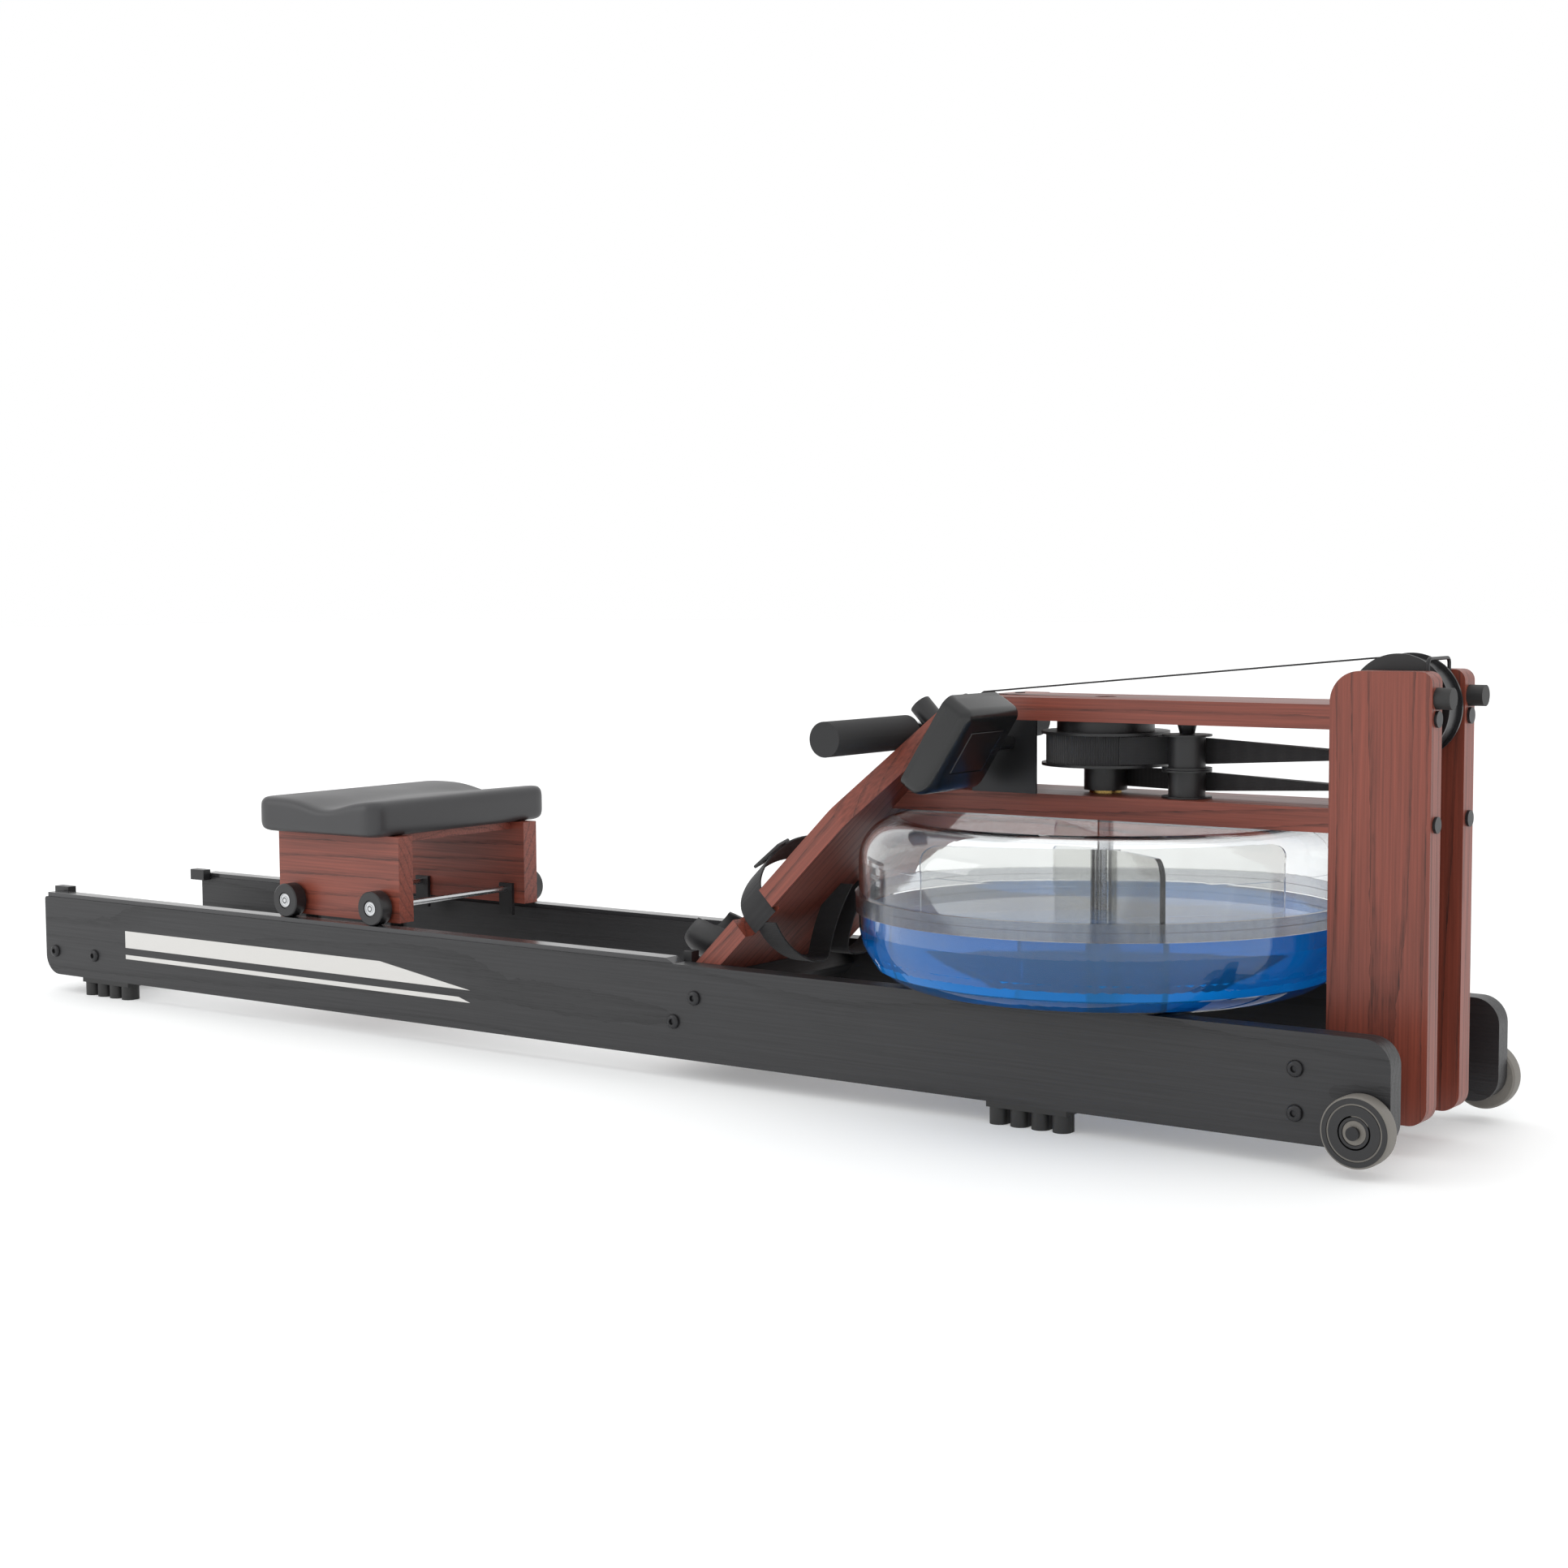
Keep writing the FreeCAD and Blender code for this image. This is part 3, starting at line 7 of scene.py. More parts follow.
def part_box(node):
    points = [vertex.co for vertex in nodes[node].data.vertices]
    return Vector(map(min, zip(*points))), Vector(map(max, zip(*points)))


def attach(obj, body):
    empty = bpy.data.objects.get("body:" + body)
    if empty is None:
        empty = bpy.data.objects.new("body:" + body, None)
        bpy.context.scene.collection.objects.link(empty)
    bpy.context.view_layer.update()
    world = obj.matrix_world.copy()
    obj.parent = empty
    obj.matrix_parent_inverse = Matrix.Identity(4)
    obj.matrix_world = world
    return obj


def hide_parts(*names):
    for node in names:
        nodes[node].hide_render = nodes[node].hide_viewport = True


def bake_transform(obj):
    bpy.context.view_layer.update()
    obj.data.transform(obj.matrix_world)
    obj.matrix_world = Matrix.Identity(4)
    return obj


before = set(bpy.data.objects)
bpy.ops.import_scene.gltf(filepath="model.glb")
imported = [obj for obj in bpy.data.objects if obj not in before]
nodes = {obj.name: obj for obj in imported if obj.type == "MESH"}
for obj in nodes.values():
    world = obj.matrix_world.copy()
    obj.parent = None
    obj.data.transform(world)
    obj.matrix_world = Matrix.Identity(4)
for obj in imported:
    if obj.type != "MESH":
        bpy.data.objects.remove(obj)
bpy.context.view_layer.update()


# ---- camera, light and floor ----
# A plain white studio: a pale floor that meets the white room, a broad glow overhead and a soft
# lamp on the camera's left. They aren't part of the rowing machine.
CAMERA_PLACE = Vector((1.96688, -2.43594, 0.58427))
CAMERA_LENS = 57.02
FILM_WIDTH = 36
yaw, pitch, roll = (math.radians(angle) for angle in (36.161, -4.576, -0.3616))
ahead = Vector((-math.sin(yaw) * math.cos(pitch), math.cos(yaw) * math.cos(pitch), math.sin(pitch)))
level = Vector((math.cos(yaw), math.sin(yaw), 0))
upright = level.cross(ahead)
across_film = level * math.cos(roll) + upright * math.sin(roll)
up_film = upright * math.cos(roll) - level * math.sin(roll)

camera_lens = bpy.data.cameras.new("camera")
camera_lens.lens = CAMERA_LENS
camera_lens.sensor_width = FILM_WIDTH
camera = bpy.data.objects.new("camera", camera_lens)
bpy.context.collection.objects.link(camera)
turn = Matrix((across_film, up_film, -ahead)).transposed().to_4x4()
camera.matrix_world = Matrix.Translation(CAMERA_PLACE) @ turn
bpy.context.scene.camera = camera
bpy.context.scene.view_settings.view_transform = "Standard"

room = bpy.data.worlds.new("white_room")
room.use_nodes = True
room.node_tree.nodes["Background"].inputs["Color"].default_value = (1, 1, 1, 1)
room.node_tree.nodes["Background"].inputs["Strength"].default_value = 1.0
bpy.context.scene.world = room


def soft_lamp(name, place, aim, size, power):
    """Adds a square lamp that faces a point."""
    lamp = bpy.data.lights.new(name, "AREA")
    lamp.size = size
    lamp.energy = power
    holder = bpy.data.objects.new(name, lamp)
    bpy.context.collection.objects.link(holder)
    holder.location = place
    holder.rotation_euler = (Vector(aim) - Vector(place)).to_track_quat("-Z", "Y").to_euler()


soft_lamp("left_lamp", (-2.2, -2.6, 1.6), (0.2, 0, 0.2), 1.8, 18)
sky_light = bpy.data.lights.new("overhead_glow", "SUN")
sky_light.energy = 0.5
sky_light.angle = math.radians(100)
sky_holder = bpy.data.objects.new("overhead_glow", sky_light)
bpy.context.collection.objects.link(sky_holder)


def finish(name, colour, roughness):
    """A new material: its node tree and its shader, with a plain colour and roughness to start from."""
    material = bpy.data.materials.new(name)
    material.use_nodes = True
    shader = material.node_tree.nodes["Principled BSDF"]
    shader.inputs["Base Color"].default_value = (*colour, 1)
    shader.inputs["Roughness"].default_value = roughness
    return material, material.node_tree, shader


def node(tree, kind, settings=None, **sockets):
    """A new node with its settings, and its sockets set to values or joined to other sockets."""
    made = tree.nodes.new("ShaderNode" + kind)
    for key, value in (settings or {}).items():
        setattr(made, key, value)
    for key, value in sockets.items():
        socket = made.inputs[int(key[1:])] if key[0] == "_" else made.inputs[key.replace("_", " ")]
        if isinstance(value, bpy.types.NodeSocket):
            tree.links.new(value, socket)
        else:
            socket.default_value = value
    return made.outputs


FLOOR_SIZE, FLOOR_COLOUR, FLOOR_GLOW = 60, (0.8, 0.81, 0.81), 0.24
bpy.ops.object.select_all(action="DESELECT")
bpy.ops.mesh.primitive_plane_add(size=FLOOR_SIZE)
floor = bpy.context.object
floor.name = "floor"
floor_paint, tree, shader = finish("floor_paint", FLOOR_COLOUR, 0.6)
shader.inputs["Emission Color"].default_value = (1, 1, 1, 1)
shader.inputs["Emission Strength"].default_value = FLOOR_GLOW
floor.data.materials.append(floor_paint)


# ---- rails and the boards between them ----
# Two long rails of open-grained ash, stained black and sealed with a satin varnish, and the cross
# boards screwed between them. The grain runs along each board.
BLACK_STAIN = ((0.006, 0.006, 0.007), (0.022, 0.022, 0.024))
ALONG_X, ALONG_Y, ALONG_Z = (0, 0, 0), (0, 0, -math.pi / 2), (0, math.pi / 2, 0)


def stained_wood(name, stain, turned, heart, roughness, relief):
    """Open-grained wood: turned brings the grain onto X, and heart is the tree's centre from there."""
    material, tree, shader = finish(name, stain[1], roughness)
    place = node(tree, "TexCoord")["Object"]
    board = node(tree, "Mapping", Vector=place, Rotation=turned, Location=heart)[0]
    long = node(tree, "Mapping", Vector=board, Scale=(0.6, 4, 4))[0]
    sway = node(tree, "TexNoise", Vector=long, Scale=2.0, Detail=1.0)["Color"]
    centred = node(tree, "VectorMath", {"operation": "SUBTRACT"}, _0=sway, _1=(0.5, 0.5, 0.5))[0]
    moved = node(tree, "VectorMath", {"operation": "MULTIPLY_ADD"}, _0=centred,
                 _1=(0, 0.06, 0.06), _2=board)[0]
    rings = node(tree, "TexWave", {"wave_type": "RINGS", "rings_direction": "X", "wave_profile": "SAW"},
                 Vector=moved, Scale=30.0, Distortion=0.5, Detail=2.0, Detail_Scale=1.5)["Fac"]
    streaks = node(tree, "Mapping", Vector=board, Scale=(6, 380, 380))[0]
    fibre = node(tree, "TexNoise", Vector=streaks, Scale=1.0, Detail=3.0)["Fac"]
    specks = node(tree, "Mapping", Vector=board, Scale=(36, 1300, 1300))[0]
    pore = node(tree, "TexNoise", Vector=specks, Scale=1.0, Detail=1.0)["Fac"]
    early = node(tree, "MapRange", Value=rings, From_Min=0.72, From_Max=1.0, To_Min=0.0, To_Max=1.0)[0]
    open_pore = node(tree, "MapRange", Value=pore, From_Min=0.56, From_Max=0.66)[0]
    pits = node(tree, "Math", {"operation": "MULTIPLY"}, _0=early, _1=open_pore)[0]
    mixed = node(tree, "Math", {"operation": "MULTIPLY_ADD"}, _0=early, _1=-0.3, _2=fibre)[0]
    shade = node(tree, "MapRange", Value=mixed, From_Min=-0.1, From_Max=0.75)[0]
    darker = node(tree, "Math", {"operation": "MULTIPLY_ADD"}, _0=pits, _1=-0.5, _2=shade)[0]
    cloud = node(tree, "TexNoise", Vector=long, Scale=4.0, Detail=1.0)["Fac"]
    tone = node(tree, "Math", {"operation": "MULTIPLY_ADD"}, _0=cloud, _1=0.2, _2=darker)[0]
    settled = node(tree, "Math", {"operation": "SUBTRACT", "use_clamp": True}, _0=tone, _1=0.1)[0]
    colour = node(tree, "Mix", {"data_type": "RGBA"}, _0=settled, _6=(*stain[0], 1), _7=(*stain[1], 1))[2]
    tree.links.new(colour, shader.inputs["Base Color"])
    dull = node(tree, "MapRange", Value=darker, To_Min=roughness + 0.12, To_Max=roughness)[0]
    tree.links.new(dull, shader.inputs["Roughness"])
    lift = node(tree, "Bump", Height=darker, Strength=relief, Distance=0.0004)[0]
    tree.links.new(lift, shader.inputs["Normal"])
    return material


def paint(material, *names):
    """Gives CAD nodes a finish."""
    for name in names:
        nodes[name].material_slots[0].material = material


paint(stained_wood("black_ash_rails", BLACK_STAIN, ALONG_X, (0, 0, -0.075), 0.38, 0.35),
      "rail_left", "rail_right")
paint(stained_wood("black_ash_boards", BLACK_STAIN, ALONG_Y, (0, 0, 0.1), 0.42, 0.5),
      "stern_spreader", "foot_spreader", "bow_spreader")


# ---- stripes on the rails ----
# A plain pale vinyl stripe stuck along the outside of each rail near the seat, square at the stern
# end and tapered to a point towards the bow, over a thin pinstripe.
STRIPE_START, STRIPE_END = -0.858, -0.19
STRIPE_BANDS = ((0.076, 0.100, 0.16), (0.060, 0.066, 0.02))
VINYL_THICK = 0.0002
vinyl, tree, shader = finish("pale_vinyl", (0.62, 0.61, 0.59), 0.45)
wear = node(tree, "TexNoise", Vector=node(tree, "TexCoord")["Object"], Scale=90.0, Detail=3.0)["Fac"]
tree.links.new(node(tree, "Bump", Height=wear, Strength=0.1, Distance=0.0002)[0], shader.inputs["Normal"])


def begin(name, add, **where):
    """Adds one primitive under its own name, with nothing else selected, and opens its mesh."""
    bpy.ops.object.select_all(action="DESELECT")
    add(**where)
    piece = bpy.context.object
    piece.name = piece.data.name = name
    bpy.ops.object.transform_apply(location=True, rotation=True, scale=True)
    bpy.ops.object.mode_set(mode="EDIT")
    return piece


def pick(piece, kind, test):
    """Selects the open mesh's verts, edges or faces that pass a test."""
    bpy.ops.mesh.select_mode(type={"verts": "VERT", "edges": "EDGE", "faces": "FACE"}[kind])
    bpy.ops.mesh.select_all(action="DESELECT")
    mesh = bmesh.from_edit_mesh(piece.data)
    for item in getattr(mesh, kind):
        if test(item):
            item.select_set(True)
    bmesh.update_edit_mesh(piece.data)


def close(piece, angle=35):
    """Closes the mesh, settles its place into it and smooths it up to an angle between faces."""
    if bpy.context.mode == "EDIT_MESH":
        bpy.ops.mesh.select_all(action="SELECT")
        bpy.ops.mesh.normals_make_consistent(inside=False)
        bpy.ops.object.mode_set(mode="OBJECT")
    bpy.ops.object.select_all(action="DESELECT")
    piece.select_set(True)
    bpy.context.view_layer.objects.active = piece
    bpy.ops.object.transform_apply(location=True, rotation=True, scale=True)
    bpy.ops.object.shade_smooth_by_angle(angle=math.radians(angle))


def fit(piece, material, body, slot, *replaced):
    """Gives a piece its finish and its body, and hides the CAD nodes that it stands for."""
    piece.data.materials.clear()
    piece.data.materials.append(material)
    if body:
        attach(piece, body)
    if replaced:
        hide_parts(*replaced)


def join(name, pieces):
    """Joins finished pieces into one mesh."""
    bpy.ops.object.select_all(action="DESELECT")
    for piece in pieces:
        piece.select_set(True)
    bpy.context.view_layer.objects.active = pieces[0]
    bpy.ops.object.join()
    pieces[0].name = pieces[0].data.name = name
    return pieces[0]


def modify(piece, kind, **settings):
    """Adds a modifier, sets it and applies it."""
    bpy.ops.object.select_all(action="DESELECT")
    piece.select_set(True)
    bpy.context.view_layer.objects.active = piece
    added = piece.modifiers.new(kind.lower(), kind)
    for key, value in settings.items():
        setattr(added, key, value)
    bpy.ops.object.modifier_apply(modifier=added.name)


for side, sign in (("right", -1), ("left", 1)):
    low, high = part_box(f"rail_{side}")
    outside = low[1] if sign < 0 else high[1]
    bands = []
    for number, (bottom, top, point) in enumerate(STRIPE_BANDS):
        band = begin(f"stripe_{side}_{number}", bpy.ops.mesh.primitive_cube_add, size=1,
                     location=((STRIPE_START + STRIPE_END) / 2, outside + sign * VINYL_THICK / 2,
                               (bottom + top) / 2),
                     scale=(STRIPE_END - STRIPE_START, VINYL_THICK, top - bottom))
        pick(band, "edges", lambda edge: all(v.co.x > STRIPE_START + 0.1 and v.co.z > (bottom + top) / 2
                                             for v in edge.verts))
        bpy.ops.transform.translate(value=(-point, 0, 0))
        close(band)
        bands.append(band)
    stripes = join(f"stripes_{side}", bands)
    fit(stripes, vinyl, "frame", "webbing")


# ---- tracks, stops and feet ----
# Smooth black plastic tracks glued along the rails' tops, stops screwed at their ends, and ribbed
# feet of black rubber under the rails.
def moulded(name, colour, roughness, grain, relief):
    """Moulded plastic or rubber: an even colour with a fine spark-eroded grain and faint cloudiness."""
    material, tree, shader = finish(name, colour, roughness)
    place = node(tree, "TexCoord")["Object"]
    fine = node(tree, "TexNoise", Vector=place, Scale=grain, Detail=2.0)["Fac"]
    cloud = node(tree, "TexNoise", Vector=place, Scale=14.0, Detail=2.0)["Fac"]
    shade = tuple(min(1, part * 1.35) for part in colour)
    mixed = node(tree, "Mix", {"data_type": "RGBA"}, _0=cloud, _6=(*colour, 1), _7=(*shade, 1))[2]
    tree.links.new(mixed, shader.inputs["Base Color"])
    rough = node(tree, "MapRange", Value=cloud, To_Min=roughness - 0.05, To_Max=roughness + 0.08)[0]
    tree.links.new(rough, shader.inputs["Roughness"])
    lift = node(tree, "Bump", Height=fine, Strength=relief, Distance=0.0002)[0]
    tree.links.new(lift, shader.inputs["Normal"])
    return material


paint(moulded("track_plastic", (0.03, 0.03, 0.032), 0.16, 400, 0.05), "tracks")
black_plastic = moulded("black_plastic", (0.012, 0.012, 0.013), 0.36, 1800, 0.25)
black_rubber = moulded("black_rubber", (0.014, 0.014, 0.014), 0.55, 900, 0.3)
paint(black_plastic, "seat_stops", "seat_guards", "tank_plug", "handle_pegs", "drum", "clutch_hub",
      "recoil_drum", "guide_roller_upper", "guide_roller_lower", "top_pulley", "recoil_pulley",
      "heel_cup_left", "heel_cup_right", "console_back", "console_front", "console_key")
paint(black_rubber, "feet", "bumpers", "transport_wheel_left", "transport_wheel_right",
      "seat_wheels_front", "seat_wheels_rear")


# ---- bolts and other steel ----
# Black-oxide socket bolts, zinc axles with a brushed shine and painted steel plates.
def steel(name, colour, roughness, metallic):
    """Metal with fine scratches and slightly uneven shine."""
    material, tree, shader = finish(name, colour, roughness)
    shader.inputs["Metallic"].default_value = metallic
    place = node(tree, "TexCoord")["Object"]
    scratched = node(tree, "Mapping", Vector=place, Scale=(900, 900, 900))[0]
    scratch = node(tree, "TexNoise", Vector=scratched, Scale=1.0, Detail=3.0)["Fac"]
    rough = node(tree, "MapRange", Value=scratch, To_Min=roughness - 0.08, To_Max=roughness + 0.12)[0]
    tree.links.new(rough, shader.inputs["Roughness"])
    lift = node(tree, "Bump", Height=scratch, Strength=0.15, Distance=0.0001)[0]
    tree.links.new(lift, shader.inputs["Normal"])
    return material


dark_steel = steel("dark_steel", (0.035, 0.035, 0.037), 0.34, 0.7)
bright_steel = steel("bright_steel", (0.56, 0.57, 0.58), 0.24, 1)
brass = steel("brass", (0.62, 0.42, 0.14), 0.25, 1)
paint(dark_steel, "rail_bolts", "deck_bolts", "guide_post", "console_bracket", "strap_keeper",
      "transport_axles", "pulley_axles")
paint(bright_steel, "seat_axles", "drive_shaft", "handle_bar")
paint(brass, "shaft_bush")


# ---- seat carriage ----
# Two cheeks of red-stained ash carry the seat board between them, and their grain runs along the
# rails. Under them run four black tyres on ball bearings.
RED_STAIN = ((0.055, 0.014, 0.009), (0.27, 0.062, 0.038))
paint(stained_wood("red_ash_cheeks", RED_STAIN, ALONG_X, (0.4, 0, -0.27), 0.36, 0.4), "seat_sides")
paint(stained_wood("seat_board_ash", RED_STAIN, ALONG_X, (0, 0, 0.1), 0.4, 0.4), "seat_board")


def turned(name, outward, centre, steps):
    """Turns a solid on an axle along Y: steps are (radius, distance from its inner face), in metres."""
    radius, place = steps[0]
    piece = begin(name, bpy.ops.mesh.primitive_circle_add, vertices=72, radius=radius, fill_type="NGON",
                  location=(0, 0, place))
    bpy.ops.mesh.select_all(action="SELECT")
    for wider, further in steps[1:]:
        bpy.ops.mesh.extrude_region_move(TRANSFORM_OT_translate={"value": (0, 0, further - place)})
        bpy.ops.transform.resize(value=(wider / radius, wider / radius, 1),
                                 center_override=(0, 0, further))
        radius, place = wider, further
    bpy.ops.mesh.select_all(action="SELECT")
    bpy.ops.mesh.normals_make_consistent(inside=False)
    bpy.ops.object.mode_set(mode="OBJECT")
    piece.rotation_euler = (-math.pi / 2 * outward, 0, 0)
    piece.location = centre
    close(piece, 28)
    return piece


TYRE_STEPS = [(0.0208, 0), (0.0225, 0.0014), (0.0225, 0.0186), (0.0211, 0.0199), (0.0112, 0.0199),
              (0.0107, 0.0186), (0.0094, 0.0186)]
BEARING_STEPS = [(0.0093, 0.0150), (0.0093, 0.0194), (0.0090, 0.0198), (0.0081, 0.0198),
                 (0.0077, 0.0189), (0.0059, 0.0189), (0.0055, 0.0197), (0.0045, 0.0197),
                 (0.0042, 0.0200), (0.0028, 0.0200), (0.0022, 0.0193)]
TYRE_WIDTH = 0.020
for end in ("front", "rear"):
    low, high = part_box(f"seat_wheels_{end}")
    axle_x, axle_z = (low[0] + high[0]) / 2, (low[2] + high[2]) / 2
    inner_face = high[1] - TYRE_WIDTH
    tyres, bearings = [], []
    for outward in (-1, 1):
        centre = (axle_x, outward * inner_face, axle_z)
        tyres.append(turned("tyre", outward, centre, TYRE_STEPS))
        bearings.append(turned("bearing", outward, centre, BEARING_STEPS))
    fit(join(f"{end}_seat_tyres", tyres), black_plastic, f"seat_{end}_wheels", "rubber",
        f"seat_wheels_{end}")
    fit(join(f"{end}_seat_bearings", bearings), bright_steel, f"seat_{end}_wheels", "steel")


# ---- socket bolts in the rails ----
# Twelve round-headed socket bolts of black-oxide steel clamp the cross boards between the rails.
BOLT_PLACES = ((-1.0145, 0.0590), (-0.9273, 0.0590), (0.9335, 0.1005), (0.9335, 0.0555),
               (0.1708, 0.1000), (0.1393, 0.0692))
HEAD_RISE = 0.0045
HEAD_STEPS = [(0.0087, 0), (0.0087, 0.0014), (0.0082, 0.0028), (0.0070, 0.0039), (0.0054, HEAD_RISE),
              (0.0036, HEAD_RISE), (0.0034, 0.0041), (0.0033, 0.0018)]
low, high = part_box("rail_bolts")
rail_face = high[1] - HEAD_RISE
heads = [turned("head", sign, (x, sign * rail_face, z), HEAD_STEPS)
         for sign in (-1, 1) for x, z in BOLT_PLACES]
fit(join("rail_bolt_heads", heads), dark_steel, "frame", "dark_steel", "rail_bolts")


# ---- seat cushion ----
# A pad of moulded polyurethane foam with a smooth black skin, glued to the seat board. Its top dips
# where the thighs lie, its front and back edges stand higher and all its edges are rounded.
low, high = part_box("seat_cushion")
PAD_CORNER, PAD_EDGE, PAD_GRAIN, PAD_CROWN = 0.024, 0.011, 0.004, 0.001
THIGH_DIP, DIP_FORWARD, DIP_REACH, DIP_MIDDLE = 0.0135, 0.15, 0.40, 0.30
WAIST_DEPTH = 0.006
pad_middle = [(a + b) / 2 for a, b in zip(low, high)]
pad_half = [(b - a) / 2 for a, b in zip(low, high)]
pad = begin("cushion_pad", bpy.ops.mesh.primitive_cube_add, size=1, location=pad_middle,
            scale=[2 * part for part in pad_half])
pick(pad, "edges", lambda edge: abs(edge.verts[0].co.z - edge.verts[1].co.z) > 0.01)
bpy.ops.mesh.bevel(offset=PAD_CORNER, segments=8, affect="EDGES")
pick(pad, "edges", lambda edge: abs(edge.verts[0].co.z - edge.verts[1].co.z) < 0.001 and
     edge.calc_face_angle() > 1)
bpy.ops.mesh.bevel(offset=PAD_EDGE, segments=4, affect="EDGES")
close(pad)
modify(pad, "REMESH", mode="VOXEL", voxel_size=PAD_GRAIN)
for vertex in pad.data.vertices:
    ahead_share = (vertex.co.x - pad_middle[0]) / pad_half[0]
    side_share = abs(vertex.co.y) / pad_half[1]
    height_share = (vertex.co.z - low[2]) / (2 * pad_half[2])
    bay = math.exp(-((ahead_share - DIP_FORWARD) / DIP_REACH) ** 2)
    ridge = DIP_MIDDLE + (1 - DIP_MIDDLE) * min(1, side_share) ** 1.5
    rim = PAD_CROWN * (1 + ahead_share) - THIGH_DIP * bay * ridge
    vertex.co.z += height_share * rim
    waist = 1 - WAIST_DEPTH * math.sin(math.pi * min(1, max(0, height_share)))
    vertex.co.y *= waist
modify(pad, "SMOOTH", factor=0.5, iterations=4)
modify(pad, "SUBSURF", levels=1, render_levels=1)
close(pad, 60)
cushion_skin = moulded("cushion_skin", (0.030, 0.030, 0.032), 0.40, 1200, 0.2)
fit(pad, cushion_skin, "seat", "foam", "seat_cushion")


# ---- footboard, decks and uprights ----
# Boards of the same red-stained ash: the grain runs up the footboard, along the two decks and up
# the two uprights.
FOOT_SLOPE = math.radians(44.4)
paint(stained_wood("red_ash_footboard", RED_STAIN, (0, FOOT_SLOPE, 0), (0, 0, 0.1), 0.38, 0.4),
      "footboard")
paint(stained_wood("red_ash_decks", RED_STAIN, ALONG_X, (0, 0, -0.3), 0.38, 0.4),
      "top_deck", "lower_deck")
paint(stained_wood("red_ash_uprights", RED_STAIN, ALONG_Z, (0, 0, 0.975), 0.36, 0.4),
      "upright_left", "upright_right")


# ---- tank ----
# Two clear shells of moulded polycarbonate clamped at a rim band, part filled with blue-dyed water.
def clear_shell(name, tint, roughness):
    """Clear plastic with faint ripples from moulding."""
    material, tree, shader = finish(name, tint, roughness)
    shader.inputs["Transmission Weight"].default_value = 1
    shader.inputs["IOR"].default_value = 1.45
    place = node(tree, "TexCoord")["Object"]
    ripple = node(tree, "TexNoise", Vector=place, Scale=9.0, Detail=1.0)["Fac"]
    lift = node(tree, "Bump", Height=ripple, Strength=0.05, Distance=0.002)[0]
    tree.links.new(lift, shader.inputs["Normal"])
    return material


polycarbonate = clear_shell("clear_polycarbonate", (0.97, 0.98, 0.985), 0.01)
paint(polycarbonate, "tank_lower", "tank_upper")
paint(clear_shell("rim_polycarbonate", (0.62, 0.63, 0.65), 0.12), "tank_rim")
dyed_water, tree, shader = finish("dyed_water", (0.005, 0.29, 0.80), 0.0)
shader.inputs["Transmission Weight"].default_value = 0.65
shader.inputs["IOR"].default_value = 1.33
absorb = node(tree, "VolumeAbsorption", Color=(0.08, 0.5, 0.95, 1), Density=2.0)
tree.links.new(absorb[0], tree.nodes["Material Output"].inputs["Volume"])
smoke, tree, shader = finish("smoke_plastic", (0.90, 0.90, 0.88), 0.06)
shader.inputs["Transmission Weight"].default_value = 1
shader.inputs["IOR"].default_value = 1.3
shade = node(tree, "VolumeAbsorption", Color=(0.42, 0.43, 0.40, 1), Density=38.0)
tree.links.new(shade[0], tree.nodes["Material Output"].inputs["Volume"])
paint(smoke, "paddle")
low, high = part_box("water")
WATER_FOOT = 0.15
WATER_STEPS = [(0.200, 0.000), (0.232, 0.004), (0.256, 0.016), (0.267, 0.034), (0.2707, 0.058),
               (0.2707, 0.079)]
centre_x = (low[0] + high[0]) / 2
water = begin("water_body", bpy.ops.mesh.primitive_circle_add, vertices=128, radius=WATER_FOOT,
              fill_type="NGON", location=(centre_x, 0, low[2]))
bpy.ops.mesh.select_all(action="SELECT")
reach, rise = WATER_FOOT, 0
for radius, height in WATER_STEPS:
    bpy.ops.mesh.extrude_region_move(TRANSFORM_OT_translate={"value": (0, 0, height - rise)})
    bpy.ops.transform.resize(value=(radius / reach, radius / reach, 1),
                             center_override=(centre_x, 0, low[2] + height))
    reach, rise = radius, height
close(water, 25)
fit(water, dyed_water, "frame", "water", "water")


# ---- webbing ----
# Black woven nylon: the drive strap, the recoil belt, the handle's strap and the foot straps.
def woven(name, colour, thread):
    """Woven nylon webbing with its threads crossing in two directions."""
    material, tree, shader = finish(name, colour, 0.75)
    place = node(tree, "TexCoord")["Object"]
    count = 1 / thread
    waves = [node(tree, "TexWave", {"bands_direction": axis}, Vector=place, Scale=count / 3.2,
                  Distortion=0.4, Detail=1.0)["Fac"] for axis in "XYZ"]
    pair = node(tree, "Math", {"operation": "MULTIPLY"}, _0=waves[0], _1=waves[1])[0]
    weave = node(tree, "Math", {"operation": "ADD"}, _0=pair, _1=waves[2])[0]
    shade = node(tree, "MapRange", Value=weave, From_Max=2.0)[0]
    lit = tuple(part * 2.2 for part in colour)
    mixed = node(tree, "Mix", {"data_type": "RGBA"}, _0=shade, _6=(*colour, 1), _7=(*lit, 1))[2]
    tree.links.new(mixed, shader.inputs["Base Color"])
    shader.inputs["Sheen Weight"].default_value = 0.15
    lift = node(tree, "Bump", Height=weave, Strength=0.5, Distance=0.0003)[0]
    tree.links.new(lift, shader.inputs["Normal"])
    return material


